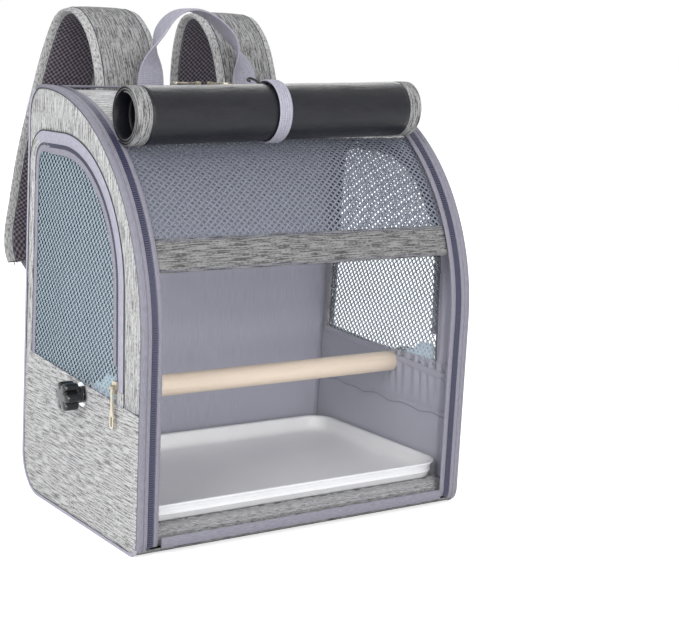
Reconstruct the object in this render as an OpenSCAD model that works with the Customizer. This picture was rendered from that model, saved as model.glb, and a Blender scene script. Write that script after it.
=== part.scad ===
// Soft-sided bird carrier worn as a backpack: arched sides, clear front door, perch and tray.
// X runs across the bag, the front faces -Y, Z is up, and the origin is the middle of the base.

/* [Overall size] */
// Width over the two side panels
body_w = 340; // [280:1:420]
// Depth from the foremost point of the arch to the foot of the back
body_d = 254; // [250:1:310]
// Height of the bag without its straps
body_h = 388; // [350:1:470]

/* [Side outline] */
// Radius of the round shoulder
arch_r = 200; // [165:1:204]
// How far the foot of the front lies behind the foremost point
front_rake = 6; // [0:1:14]
// How far the top of the back leans forward
back_lean = 22; // [8:1:25]
// Radius at the foot of the front
front_foot_r = 16; // [12:1:24]
// Radius at the top of the back
back_top_r = 27; // [20:1:31]
// Radius at the foot of the back
back_foot_r = 36; // [24:1:45]

/* [Cloth and boards] */
// Thickness of the melange cloth panels
cloth_t = 1.5; // [1:0.1:2.5]
// Thickness of the satin lining
lining_t = 0.8; // [0.5:0.1:1.5]
// Thickness of the stiffening boards
board_t = 3; // [2:0.5:5]
// Thickness of the padded floor mat
mat_t = 18; // [10:1:26]
// Space left beside soft pieces
soft_gap = 0.3; // [0.2:0.1:1]

/* [Arch zip] */
// Width of the ribbon along each side panel
ribbon_w = 8; // [5:0.5:14]
// Width of the closed chain of teeth
chain_w = 5; // [4:0.5:8]
// Width of the ribbon on the door's edge
door_ribbon_w = 7; // [4:0.5:12]
// Thickness of the ribbons
ribbon_t = 1.2; // [0.8:0.1:2]
// Height of the teeth
chain_t = 2; // [1.5:0.1:3]
// Diameter of the spring wire behind each arch
wire_d = 3; // [2:0.5:4]

/* [Front door] */
// How deep the door's panels lie behind the arch ribbons
door_inset = 4; // [2:0.5:8]
// Height of the hinge seam above the floor
hinge_z = 7.2; // [6:0.1:12]
// Height of the binding under the window
binding_h = 9; // [6:1:16]
// Thickness of the clear window
window_t = 0.8; // [0.5:0.1:1.5]
// Height of the lower edge of the cloth band
band_low = 243; // [180:1:260]
// Width of the cloth band, measured upright
band_h = 27; // [15:1:40]
// Thickness of the mesh cloth
mesh_t = 0.8; // [0.5:0.1:1.5]
// Distance of the door's rear edge behind the middle of the bag
door_rear = 84; // [60:1:90]

/* [Rolled shade] */
// Outer radius of the rolled shade
roll_r = 26; // [20:1:32]
// Thickness of the shade's sheet
roll_sheet_t = 1.5; // [1:0.1:2]
// Step from one turn of the shade to the next
roll_step = 2.3; // [2.2:0.1:3]
// Number of turns in the roll
roll_turns = 2.6; // [1.5:0.1:3]
// Angle of the roll in front of the top of the arch
roll_angle = 35; // [28:0.5:40]
// Length of the cloth binding at each end of the roll
roll_binding = 14; // [8:1:25]
// Width of the elastic strap that holds the roll
roll_strap_w = 13; // [8:1:25]
// Thickness of that strap
roll_strap_t = 1.2; // [0.8:0.1:2]

/* [Side doors] */
// Distance of the side door's zip behind the front of the arch
side_door_front = 46.5; // [40:0.5:60]
// Distance of the side door's zip below the top of the bag
side_door_top = 52.4; // [44:0.2:70]
// Radius of the side door's upper front corner
side_door_arch_r = 111; // [90:1:115]
// Distance of the side door's rear edge inside the back
side_door_rear = 16; // [10:1:30]
// Height of the side door's lower edge
side_door_low = 135; // [110:1:160]
// Radius of the side door's upper rear corner
side_door_r = 20; // [14:1:40]
// Width of the ribbon around the side door
side_ribbon_w = 12; // [6:0.5:13]
// Width of the closed zip and the ribbon on the side door's edge
flap_ribbon_w = 6; // [5:0.5:9]
// Width of the closed zip between the two ribbons
zip_gap = 2; // [1.8:0.1:3]
// Width of the net's openings
net_gap_w = 13; // [10:1:20]
// Height of the net's openings
net_gap_h = 17; // [12:1:24]
// Width of the net's strands
net_strand = 4; // [2:0.5:6]

/* [Perch] */
// Diameter of the wooden perch
perch_d = 20; // [14:1:26]
// Height of the perch above the floor
perch_z = 121; // [100:1:126]
// Distance of the perch in front of the middle of the bag
perch_front = 12; // [0:1:30]
// Diameter of the screw at each end of the perch
screw_d = 6; // [4:1:8]
// Diameter over the lobes of a knob
knob_d = 27; // [24:1:36]
// Length of a knob
knob_l = 20; // [16:1:28]

/* [Tray] */
// Height of the tray
tray_h = 17; // [12:1:30]
// Thickness of the tray's plastic
tray_wall = 2; // [1.5:0.5:3]
// Space between the tray and the linings
tray_gap = 3; // [3:1:14]
// Radius of the tray's corners
tray_r = 24; // [12:1:36]

/* [Straps and handle] */
// Half the distance between the feet of the handle
handle_half = 52; // [40:1:70]
// Height of the handle's arch
handle_rise = 79; // [60:1:110]
// Width of the handle's webbing
handle_w = 28; // [20:1:34]
// Thickness of the handle's webbing
handle_t = 2.2; // [1.5:0.1:3]
// Width of a shoulder strap's pad
pad_w = 68; // [56:1:76]
// Thickness of a shoulder strap's pad
pad_t = 9; // [6:1:14]
// Width of the adjusting webbing
web_w = 25; // [18:1:30]
// Thickness of the adjusting webbing
web_t = 1.6; // [1:0.1:2.5]

/* [Hidden] */

melange = "#b9b8b4";
ribbon_grey = "#8e8d9c";
satin = "#80808f";
metal = "#c9c1ae";
far = 1000;

// ---- Side outline: a plane curve in Y and Z, drawn as [y, z] points ----

half_w = body_w / 2;
arch_c = [arch_r - body_d / 2, body_h - arch_r];
foot_c = [front_rake + front_foot_r - body_d / 2, front_foot_r];
top_c = [body_d / 2 - back_lean - back_top_r, body_h - back_top_r];
heel_c = [body_d / 2 - back_foot_r, back_foot_r];

// Direction of the outward normal of the line that touches two circles
function tangent_normal(a, ra, b, rb) =
    atan2(b[1] - a[1], b[0] - a[0]) + acos((ra - rb) / norm(b - a));
front_n = tangent_normal(foot_c, front_foot_r, arch_c, arch_r);
back_n = tangent_normal(top_c, back_top_r, heel_c, back_foot_r);

function arc(c, r, from, to, steps) =
    [for (k = [0:steps]) let (a = from + (to - from) * k / steps) [c[0] + r * cos(a), c[1] + r * sin(a)]];

// The outline drawn in by i on every side
function outline(i) = concat(
    arc(foot_c, front_foot_r - i, 270, front_n, 6),
    arc(arch_c, arch_r - i, front_n, 90, 30),
    arc(top_c, back_top_r - i, 90, back_n, 8),
    arc(heel_c, back_foot_r - i, back_n, -90, 8));

// Y of the front at height z, drawn in by i
function front_y(z, i) = z > arch_c[1]
    ? arch_c[0] - sqrt(pow(arch_r - i, 2) - pow(z - arch_c[1], 2))
    : arch_c[0] + (arch_r - i + (arch_c[1] - z) * sin(front_n)) / cos(front_n);
// Y of the back at height z, drawn in by i
function back_y(z, i) = (heel_c * [cos(back_n), sin(back_n)] + back_foot_r - i - z * sin(back_n)) / cos(back_n);
// Z of the rounded top of the back at depth y, drawn in by i
function top_z(y, i) = top_c[1] + sqrt(pow(back_top_r - i, 2) - pow(max(0, y - top_c[0]), 2));

module along_x(x0, x1) {
    translate([x0, 0, 0])
        rotate([90, 0, 90])
            linear_extrude(x1 - x0)
                children();
}

// The strip of the outline between two depths
module wall(i0, i1) {
    difference() {
        polygon(outline(i0));
        polygon(outline(i1));
    }
}

// A rectangle in Y and Z from one corner to the other
module area(y0, z0, y1, z1) {
    translate([y0, z0])
        square([y1 - y0, z1 - z0]);
}

// What is drawn on the right is mirrored for the left
module on_side(s) {
    mirror([s < 0 ? 1 : 0, 0, 0])
        children();
}

// ---- Places that several pieces share ----

inner_w = half_w - cloth_t;
room_w = inner_w - lining_t;
ribbon_in = inner_w - ribbon_w;
chain_in = ribbon_in - chain_w;
panel_w = chain_in - door_ribbon_w;
base_wrap = hinge_z - 1.7;
mat_z = cloth_t + board_t;
tray_z = mat_z + mat_t + soft_gap;
tape_end = door_rear + 8;
edge_in = 0.8;
band_high = band_low + band_h;
binding_z = hinge_z + 0.8;
roll_dist = arch_r - door_inset + roll_r + roll_strap_t + 2 * soft_gap;
roll_c = arch_c + roll_dist * [-sin(roll_angle), cos(roll_angle)];
seam_z = arch_c[1] + (arch_r - door_inset) * cos(roll_angle);
perch_y = -perch_front;
lining_in = cloth_t + board_t + soft_gap;

// The door hangs from the hinge seam and reaches over the top to its rear edge
module door_area() {
    area(-far, binding_z, door_rear, far);
}

// ---- Base and back ----

module bottom_panel() {
    color(melange)
        along_x(-inner_w, inner_w)
            intersection() {
                wall(0, cloth_t);
                area(-far, 0, far, base_wrap);
            }
}

module base_board() {
    color("#3a3a3e")
        translate([soft_gap - room_w, foot_c[0], cloth_t])
            cube([2 * (room_w - soft_gap), heel_c[0] - foot_c[0], board_t]);
}

// A flat mat whose front edge is rounded and whose rear edge follows the heel
module floor_mat() {
    edge_r = mat_t / 3;
    color("#a9a7a2")
        along_x(soft_gap - room_w, room_w - soft_gap)
            intersection() {
                polygon(outline(lining_in + lining_t + soft_gap));
                offset(edge_r)
                    offset(delta = -edge_r)
                        area(front_y(mat_z + mat_t / 2, door_inset + 7), mat_z, far, mat_z + mat_t);
            }
}

module back_panel() {
    color(melange)
        along_x(-inner_w, inner_w)
            intersection() {
                wall(0, cloth_t);
                area(tape_end, base_wrap, far, far);
            }
}

module back_board() {
    color("#3a3a3e")
        along_x(-room_w + 6, room_w - 6)
            intersection() {
                wall(cloth_t, cloth_t + board_t);
                area(0, heel_c[1] + 4, far, top_c[1] - 6);
            }
}

module back_lining() {
    color(satin)
        along_x(soft_gap - room_w, room_w - soft_gap)
            intersection() {
                wall(lining_in, lining_in + lining_t);
                area(tape_end, mat_z + mat_t + soft_gap, far, far);
            }
}

// Padded mesh on the outside of the back: crowned, with two sewn upright channels
pad_cols = 24;
pad_rows = 14;
back_pad_w = 2 * (half_w - 58);
back_pad_low = back_foot_r + 22;
back_pad_high = body_h - 68;
function channel(u) = 1 - 0.6 * max([for (c = [-1 / 3, 1 / 3]) exp(-pow((u - c) / 0.07, 2))]);
function pad_depth(u, v) = 2 + 9 * pow(1 - pow(u, 6), 0.5) * pow(1 - pow(v, 8), 0.5) * channel(u);
module back_pad() {
    mid = (back_pad_low + back_pad_high) / 2;
    rise = (back_pad_high - back_pad_low) / 2;
    us = [for (c = [0:pad_cols]) 2 * c / pad_cols - 1];
    vs = [for (r = [0:pad_rows]) 2 * r / pad_rows - 1];
    outer = [for (v = vs) for (u = us) let (z = mid + rise * v)
        [u * back_pad_w / 2, back_y(z, -soft_gap) + pad_depth(u, v), z]];
    inner = [for (v = vs) for (u = us) let (z = mid + rise * v)
        [u * back_pad_w / 2, back_y(z, -soft_gap), z]];
    color("#3c3844")
        sheet_pair(outer, inner, pad_cols + 1, pad_rows + 1);
}

// A closed solid between two grids of points, rows by columns
module sheet_pair(top, low, cols, rows) {
    n = cols * rows;
    up = [for (r = [0:rows - 2]) for (c = [0:cols - 2]) let (k = r * cols + c)
        each [[k, k + cols, k + 1], [k + 1, k + cols, k + cols + 1]]];
    down = [for (f = up) [f[0] + n, f[2] + n, f[1] + n]];
    rim = concat(
        [for (c = [0:cols - 1]) c],
        [for (r = [1:rows - 1]) r * cols + cols - 1],
        [for (c = [1:cols - 1]) n - 1 - c],
        [for (r = [1:rows - 2]) n - cols - r * cols]);
    m = len(rim);
    sides = [for (k = [0:m - 1]) let (a = rim[k], b = rim[(k + 1) % m])
        each [[a, b, b + n], [a, b + n, a + n]]];
    polyhedron(concat(top, low), concat(up, down, sides));
}

// ---- Sides ----

door_front = arch_c[0] - arch_r + side_door_front;
door_top = body_h - side_door_top;
door_c = [door_front + side_door_arch_r, door_top - side_door_arch_r];
rear_k = heel_c * [cos(back_n), sin(back_n)] + back_foot_r - side_door_rear;
corner_z = door_top - side_door_r;
corner_c = [(rear_k - side_door_r - corner_z * sin(back_n)) / cos(back_n), corner_z];

// The side door's shape drawn in by i, with its foot at height low
function side_door(i, low) = concat(
    [[door_front + i, low]],
    arc(door_c, side_door_arch_r - i, 180, 90, 24),
    arc(corner_c, side_door_r - i, 90, back_n, 8),
    [[(rear_k - i - low * sin(back_n)) / cos(back_n), low]]);

// The zip ends at fold_low and fold_high, and the open flap folds along the line between them
slider_l = 11;
fold_low = [door_front, side_door_low + slider_l + 1];
fold_high = [corner_c[0] - 8, door_top];
fold_turn = atan2(fold_high[1] - fold_low[1], fold_high[0] - fold_low[0]);

// The half of the side door in front of the fold, or behind it
module fold_side(front) {
    translate(fold_low)
        rotate(fold_turn)
            translate([-far, front ? soft_gap / 2 : -far - soft_gap / 2])
                square([2 * far, far]);
}

module side_upper(s) {
    color(melange)
        on_side(s)
            along_x(inner_w, half_w)
                difference() {
                    intersection() {
                        polygon(outline(0));
                        area(-far, side_door_low, far, far);
                    }
                    polygon(side_door(-side_ribbon_w, side_door_low - 1));
                }
}

module side_lower(s) {
    color(melange)
        on_side(s)
            along_x(inner_w, half_w)
                difference() {
                    intersection() {
                        polygon(outline(0));
                        area(-far, 0, far, side_door_low);
                    }
                    translate([perch_y, perch_z])
                        circle(d = screw_d + 0.4, $fn = 48);
                }
}

module side_lining(s) {
    color(satin)
        on_side(s)
            along_x(room_w, inner_w)
                difference() {
                    polygon(outline(cloth_t + soft_gap));
                    polygon(side_door(-side_ribbon_w, side_door_low));
                    translate([perch_y, perch_z])
                        circle(d = screw_d + 0.4, $fn = 48);
                }
}

// Ribbon and half of the teeth, sewn to the cloth around the side door
module side_zip(s) {
    color(ribbon_grey)
        on_side(s)
            along_x(inner_w, half_w)
                difference() {
                    polygon(side_door(-side_ribbon_w, side_door_low));
                    polygon(side_door(0, side_door_low - 1));
                }
}

// Upright diamonds in staggered rows
module net_holes() {
    cell_w = net_gap_w + net_strand;
    cell_h = net_gap_h + net_strand;
    for (row = [0:ceil(2 * (body_h - side_door_low) / cell_h)])
        for (col = [-ceil(body_d / cell_w / 2):ceil(body_d / cell_w / 2)]) {
            c = [cell_w * (col + (row % 2) / 2), side_door_low + cell_h * (row + 1) / 2];
            if (net_hole_fits(c))
                polygon([c - [net_gap_w / 2, 0], c + [0, net_gap_h / 2], c + [net_gap_w / 2, 0], c - [0, net_gap_h / 2]]);
        }
}

// A diamond stays inside the ribbon and off the fold
function net_hole_fits(c) =
    let (reach = net_gap_h / 2 + net_strand / 2 + flap_ribbon_w,
        fold = (c - fold_low) * [-sin(fold_turn), cos(fold_turn)])
    abs(fold) > net_gap_h / 2
    && (c[1] < door_c[1] || c[0] > door_c[0] || norm(c - door_c) < side_door_arch_r - reach)
    && c[1] < door_top - reach
    && c[0] - net_gap_w / 2 > door_front + flap_ribbon_w + net_strand / 2
    && c * [cos(back_n), sin(back_n)] < rear_k - reach
    && (c[1] < corner_c[1] || c[0] < corner_c[0] || norm(c - corner_c) < side_door_r - reach)
    && c[1] > side_door_low + net_gap_h / 2 + net_strand / 2;

// The sewn half of the net behind the fold
module side_net(s) {
    color("#9fb4c0")
        on_side(s)
            along_x(inner_w, inner_w + mesh_t)
                difference() {
                    intersection() {
                        polygon(side_door(soft_gap, side_door_low + soft_gap));
                        fold_side(false);
                    }
                    net_holes();
                }
}

// The half of the net that opens with the zip
module side_flap(s) {
    color("#9fb4c0")
        on_side(s)
            along_x(inner_w, inner_w + mesh_t)
                difference() {
                    intersection() {
                        polygon(side_door(flap_ribbon_w, side_door_low + soft_gap));
                        fold_side(true);
                    }
                    net_holes();
                }
}

// Ribbon and the other half of the teeth, on the flap's edge
module flap_tape(s) {
    color(ribbon_grey)
        on_side(s)
            along_x(inner_w, half_w)
                intersection() {
                    difference() {
                        polygon(side_door(zip_gap, side_door_low + zip_gap));
                        polygon(side_door(flap_ribbon_w, side_door_low));
                    }
                    fold_side(true);
                }
}

// ---- Zip sliders: the face lies in X and Y, the pull hangs towards -Y ----

slider_w = 9;
slider_h = 2.6;
ear_t = 1.2;
ear_gap = 4.6;
pin_r = 0.7;
pin_h = slider_h + 1.9;
side_pull_l = 36;
front_pull_l = 28;
pull_t = 1.4;
pull_end_w = 7.6;
pull_slot_w = 3;
pull_eye_r = 1.5;

module slider() {
    color(metal) {
        linear_extrude(slider_h)
            polygon([[-slider_w / 2, slider_l / 2], [slider_w / 2, slider_l / 2], [slider_w / 3, -slider_l / 2],
                [-slider_w / 3, -slider_l / 2]]);
        for (e = [-1, 1])
            translate([e * (ear_gap + ear_t) / 2 - ear_t / 2, -1.5, slider_h - 0.2])
                cube([ear_t, 3, 3.4]);
        translate([-ear_gap / 2 - ear_t / 2, 0, pin_h])
            rotate([0, 90, 0])
                cylinder(r = pin_r, h = ear_gap + ear_t, $fn = 24);
    }
}

// A pull l long from its pin to its tip
module pull(l) {
    barrel = ear_gap - 2 * soft_gap;
    color(metal)
        difference() {
            union() {
                translate([-barrel / 2, 0, pin_h])
                    rotate([0, 90, 0])
                        cylinder(r = pull_eye_r, h = barrel, $fn = 24);
                translate([0, 0, pin_h - pull_t / 2])
                    linear_extrude(pull_t) {
                        polygon([[-barrel / 2, 0], [barrel / 2, 0], [barrel / 2, -l / 2], [pull_end_w / 2, -l + 10],
                            [pull_end_w / 2, -l + pull_end_w / 2], [-pull_end_w / 2, -l + pull_end_w / 2],
                            [-pull_end_w / 2, -l + 10], [-barrel / 2, -l / 2]]);
                        translate([0, -l + pull_end_w / 2])
                            circle(d = pull_end_w, $fn = 48);
                    }
            }
            translate([-slider_w, 0, pin_h])
                rotate([0, 90, 0])
                    cylinder(r = pin_r + 0.1, h = 2 * slider_w, $fn = 24);
            translate([0, 0, pin_h - pull_t])
                linear_extrude(2 * pull_t) {
                    for (y = [-l + pull_end_w / 2, -l + 9.5])
                        translate([0, y])
                            circle(pull_slot_w / 2, $fn = 32);
                    translate([-pull_slot_w / 2, -l + pull_end_w / 2])
                        square([pull_slot_w, 9.5 - pull_end_w / 2]);
                }
        }
}

// Turns the slider's face outwards on a side, on the lower end of the side door's zip
module at_side_zip(s) {
    on_side(s)
        translate([half_w + soft_gap, door_front, fold_low[1] - slider_l / 2 - soft_gap])
            rotate([90, 0, 90])
                children();
}

module side_slider(s) {
    at_side_zip(s)
        slider();
}

module side_pull(s) {
    at_side_zip(s)
        pull(side_pull_l);
}

// Lays the slider on the top, where the two front sliders meet, with its pull pointing outwards
module at_front_zip(s) {
    on_side(s)
        translate([slider_l / 2 + 1, door_rear, body_h - edge_in + soft_gap])
            rotate([0, 0, 90])
                children();
}

module front_slider(s) {
    at_front_zip(s)
        slider();
}

module front_pull(s) {
    at_front_zip(s)
        pull(front_pull_l);
}

// ---- Arch ribbons ----

// Ribbon and half of the teeth along the side panel
module arch_tape(s) {
    color(ribbon_grey)
        on_side(s) {
            along_x(ribbon_in, inner_w)
                intersection() {
                    wall(0, ribbon_t);
                    area(-far, base_wrap, tape_end, far);
                }
            along_x(ribbon_in - chain_w / 2 + 0.1, ribbon_in)
                intersection() {
                    wall(0.4, 0.4 + chain_t);
                    area(-far, base_wrap, tape_end, far);
                }
        }
}

// The other half of the teeth and the ribbon that holds the door's edge, up the arch and half across the top
module door_tape(s) {
    color(ribbon_grey)
        on_side(s) {
            along_x(chain_in, ribbon_in - chain_w / 2 - 0.1)
                intersection() {
                    wall(0.4, 0.4 + chain_t);
                    door_area();
                }
            along_x(panel_w, chain_in)
                intersection() {
                    wall(edge_in, door_inset + 1.6);
                    door_area();
                }
            along_x(soft_gap / 2, panel_w)
                intersection() {
                    wall(edge_in, door_inset + 1.6);
                    area(door_rear - door_ribbon_w, body_h / 2, door_rear, far);
                }
        }
}

// Spring wire in each arch's seam, from the floor over the shoulder to the top of the back
module arch_wires() {
    depth = door_inset + wire_d;
    wire_x = room_w - wire_d / 2 - soft_gap;
    leg_top = arch_c + (arch_r - depth) * [cos(front_n), sin(front_n)];
    leg_low = foot_c + (front_foot_r - depth) * [cos(front_n), sin(front_n)];
    color("#55555c")
        for (s = [-1, 1])
            on_side(s)
                translate([wire_x, 0, 0]) {
                    translate([0, arch_c[0], arch_c[1]])
                        rotate([90, 0, 90])
                            rotate([0, 0, 90])
                                rotate_extrude(angle = front_n - 90, $fn = 96)
                                    translate([arch_r - depth, 0])
                                        circle(d = wire_d, $fn = 24);
                    translate([0, leg_low[0], leg_low[1]])
                        rotate([180 - front_n, 0, 0])
                            cylinder(d = wire_d, h = norm(leg_top - leg_low), $fn = 24);
                    translate([0, arch_c[0], body_h - depth])
                        rotate([-90, 0, 0])
                            cylinder(d = wire_d, h = max(2, top_c[0] - arch_c[0]), $fn = 24);
                }
}

// Ribbon across the top, behind the door's rear edge
module top_tape() {
    color(ribbon_grey)
        along_x(soft_gap - ribbon_in + chain_w / 2, ribbon_in - chain_w / 2 - soft_gap)
            intersection() {
                wall(0, ribbon_t);
                area(door_rear + soft_gap, 0, tape_end, far);
                area(-far, body_h / 2, far, far);
            }
}

// ---- Front door ----

// A panel of the door between two heights, from depth i0 to i1
module door_panel(i0, i1, z0, z1) {
    along_x(-panel_w, panel_w)
        intersection() {
            wall(i0, i1);
            door_area();
            area(-far, z0, far, z1);
        }
}

module front_binding() {
    color(ribbon_grey)
        door_panel(edge_in, door_inset + 1.6, binding_z, binding_z + binding_h);
}

module front_window() {
    color("#dfe3e6", 0.35)
        door_panel(door_inset, door_inset + window_t, binding_z + binding_h, band_low);
}

module front_band() {
    color("#8a8782")
        door_panel(door_inset - 0.6, door_inset + cloth_t, band_low, band_high);
}

module front_mesh() {
    color("#2b2b30")
        door_panel(door_inset, door_inset + mesh_t, band_high, seam_z);
}

module top_panel() {
    color(melange)
        difference() {
            door_panel(door_inset, door_inset + cloth_t, seam_z, far);
            translate([-half_w, door_rear - door_ribbon_w, 0])
                cube([body_w, far, far]);
        }
}

// ---- Rolled shade ----

// The rolled sheet seen from its end, t thick
module spiral(t) {
    steps = round(roll_turns * 30);
    mid_r = roll_r - roll_sheet_t / 2;
    function spot(k, side) =
        let (a = -60 - 360 * roll_turns * k / steps, r = mid_r - roll_step * roll_turns * k / steps + side * t / 2)
        [r * cos(a), r * sin(a)];
    translate(roll_c)
        polygon(concat([for (k = [0:steps]) spot(k, 1)], [for (k = [steps:-1:0]) spot(k, -1)]));
}

roll_half = panel_w - 1.2;
binding_extra = 0.3;
echo(str("least gap between the shade's turns: ", roll_step - roll_sheet_t - binding_extra, " mm"));

module shade_roll() {
    color("#24242a")
        along_x(-roll_half + roll_binding, roll_half - roll_binding)
            spiral(roll_sheet_t);
}

module shade_bindings() {
    color(melange)
        for (s = [-1, 1])
            on_side(s)
                along_x(roll_half - roll_binding, roll_half)
                    spiral(roll_sheet_t + binding_extra);
}

module roll_strap() {
    inner_r = roll_r + binding_extra + soft_gap;
    color(ribbon_grey)
        along_x(-roll_strap_w / 2, roll_strap_w / 2)
            translate(roll_c)
                difference() {
                    circle(inner_r + roll_strap_t, $fn = 72);
                    circle(inner_r, $fn = 72);
                }
}

// ---- Perch ----

perch_l = 2 * (room_w - soft_gap);
screw_hold = 18;
washer_t = 1.6;
knob_x = half_w + washer_t + soft_gap;

module at_perch() {
    translate([0, perch_y, perch_z])
        rotate([0, 90, 0])
            children();
}

module perch() {
    color("#e3d0b8")
        at_perch()
            difference() {
                translate([0, 0, -perch_l / 2])
                    cylinder(d = perch_d, h = perch_l, $fn = 96);
                for (s = [0, 1])
                    mirror([0, 0, s])
                        translate([0, 0, perch_l / 2 - screw_hold])
                            cylinder(d = screw_d, h = screw_hold + 1, $fn = 48);
            }
}

module perch_screws() {
    tip = knob_x + knob_l - 4;
    start = perch_l / 2 - screw_hold;
    color("silver")
        at_perch()
            for (s = [0, 1])
                mirror([0, 0, s])
                    translate([0, 0, start])
                        cylinder(d = screw_d, h = tip - start, $fn = 48);
}

module perch_washers() {
    color("silver")
        at_perch()
            for (s = [0, 1])
                mirror([0, 0, s])
                    translate([0, 0, half_w])
                        difference() {
                            cylinder(d = knob_d - 5, h = washer_t, $fn = 72);
                            translate([0, 0, -1])
                                cylinder(d = screw_d + 0.4, h = washer_t + 2, $fn = 48);
                        }
}

// A six-lobed knob on a short hub
module knob(s) {
    hub_l = 6;
    lobe_r = 4;
    color("#1a1a1c")
        on_side(s)
            at_perch()
                translate([0, 0, knob_x])
                    difference() {
                        union() {
                            cylinder(d = knob_d * 0.55, h = hub_l, $fn = 72);
                            translate([0, 0, hub_l - 0.5])
                                linear_extrude(knob_l - hub_l + 0.5) {
                                    circle(d = knob_d - lobe_r, $fn = 72);
                                    for (k = [0:5])
                                        rotate(60 * k)
                                            translate([knob_d / 2 - lobe_r, 0])
                                                circle(lobe_r, $fn = 32);
                                }
                        }
                        translate([0, 0, -1])
                            cylinder(d = screw_d + 0.1, h = knob_l - 1, $fn = 48);
                    }
}

// ---- Tray ----

tray_w = 2 * (room_w - tray_gap);
tray_y0 = front_y(tray_z + tray_h, door_inset + 12);
tray_y1 = back_y(tray_z + tray_h, lining_in + lining_t + tray_gap + 9);
tray_rim = 3;

module tray_shape(inset) {
    offset(tray_r - inset)
        offset(delta = -tray_r)
            translate([-tray_w / 2, tray_y0])
                square([tray_w, tray_y1 - tray_y0]);
}

module tray() {
    color("#dad9d7")
        translate([0, 0, tray_z])
            difference() {
                union() {
                    linear_extrude(tray_h)
                        tray_shape(tray_rim);
                    translate([0, 0, tray_h - tray_wall])
                        linear_extrude(tray_wall)
                            tray_shape(0);
                }
                translate([0, 0, tray_wall])
                    linear_extrude(tray_h)
                        tray_shape(tray_rim + tray_wall);
            }
}

// ---- Swept bands: a closed section carried along points, with a width direction at each ----

function unit(v) = v / norm(v);
// Section points [across, through] of a band w wide and t thick with thin edges
function band_section(w, t, edge) = [
    [-w / 2, 0], [-w / 2 + edge * 0.3, t * 0.3], [-w / 2 + edge, t / 2], [w / 2 - edge, t / 2],
    [w / 2 - edge * 0.3, t * 0.3], [w / 2, 0], [w / 2 - edge * 0.3, -t * 0.3], [w / 2 - edge, -t / 2],
    [-w / 2 + edge, -t / 2], [-w / 2 + edge * 0.3, -t * 0.3]];
function flat_section(w, t) = [[-w / 2, t / 2], [w / 2, t / 2], [w / 2, -t / 2], [-w / 2, -t / 2]];

module sweep(path, widths, section) {
    n = len(path);
    m = len(section);
    rings = [for (k = [0:n - 1]) let (
            t = unit(path[min(k + 1, n - 1)] - path[max(k - 1, 0)]),
            w = unit(widths[k] - (widths[k] * t) * t),
            u = cross(t, w))
        each [for (p = section) path[k] + p[0] * w + p[1] * u]];
    skin = [for (k = [0:n - 2]) for (j = [0:m - 1]) let (a = k * m + j, b = k * m + (j + 1) % m)
        each [[a, b + m, b], [a, a + m, b + m]]];
    // Each end is a fan from the middle of its ring
    caps = [for (j = [0:m - 1]) each [[n * m, j, (j + 1) % m],
        [n * m + 1, (n - 1) * m + (j + 1) % m, (n - 1) * m + j]]];
    polyhedron(concat(rings, [path[0], path[n - 1]]), concat(skin, caps));
}

// A smooth curve through a list of points
function through(p, k, f) =
    let (a = p[max(k - 1, 0)], b = p[k], c = p[k + 1], d = p[min(k + 2, len(p) - 1)])
    0.5 * (2 * b + (c - a) * f + (2 * a - 5 * b + 4 * c - d) * f * f + (3 * b - a - 3 * c + d) * f * f * f);
function smooth(p, steps) = concat(
    [for (k = [0:len(p) - 2]) each [for (j = [0:steps - 1]) through(p, k, j / steps)]],
    [p[len(p) - 1]]);

// ---- Handle ----

handle_y = tape_end + 3;
handle_z = top_z(handle_y - handle_t / 2, 0) + soft_gap;
handle_skew = 10;

// The feet stand upright with their width across the bag, and the grip is turned a quarter
handle_foot = 4;
module handle() {
    steps = 26;
    angles = [for (k = [0:steps]) 180 - 180 * k / steps];
    function turn(a) = let (f = min(1, min(a, 180 - a) / 55)) 90 * f * f * (3 - 2 * f);
    arch = [for (a = angles) [handle_half * cos(a) - handle_skew * pow(sin(a), 2), handle_y,
        handle_z + handle_foot + (handle_rise - handle_foot - handle_t / 2) * sin(a)]];
    grip = [for (a = angles) let (b = turn(a)) [cos(b) * abs(cos(a)), sin(b), cos(b) * sin(a) * sign(a - 90)]];
    foot = [0, 0, -handle_foot];
    color(ribbon_grey)
        sweep(concat([arch[0] + foot], arch, [arch[steps] + foot]), concat([[1, 0, 0]], grip, [[1, 0, 0]]),
            flat_section(handle_w, handle_t));
}

// ---- Shoulder straps ----

yoke_t = 2;
yoke_low = top_c[1] - 14;
yoke_high = top_c[1] + 6;
pad_start = [66, back_y(top_c[1], -pad_t / 2 - yoke_t), yoke_high + 1];

// The right pad's route over the top and down behind the bag, as steps from its start
pad_steps = [[0, 0, 0], [0, 4, 30], [0, 22, 66], [1, 54, 88], [3, 88, 84], [7, 112, 50], [14, 128, 0],
    [26, 132, -56], [40, 122, -112], [50, 108, -144], [50, 101, -158]];
pad_path = smooth([for (p = pad_steps) pad_start + p], 3);
pad_end = pad_path[len(pad_path) - 1];

module strap_yoke() {
    color(melange)
        along_x(-pad_start[0] - pad_w / 2 - 2, pad_start[0] + pad_w / 2 + 2)
            intersection() {
                wall(-yoke_t, 0);
                area(0, yoke_low, far, yoke_high);
            }
}

module strap_pad(s) {
    color("#a3a29e")
        on_side(s)
            sweep(pad_path, [for (p = pad_path) [1, 0, 0]], band_section(pad_w, pad_t, 7));
}

// The end of the pad carries a tab, and the tab carries the ladder lock
web_low = [pad_start[0] + 74, back_y(back_foot_r + 6, -yoke_t - web_t), back_foot_r + 6];
web_tilt = atan2(pad_end[1] - web_low[1], pad_end[2] - web_low[2]);
tab_drop = 2.8;
tab_l = 14;
tab_t = 3;
lock_l = 22;
lock_w = 34;
lock_t = 4;
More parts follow.
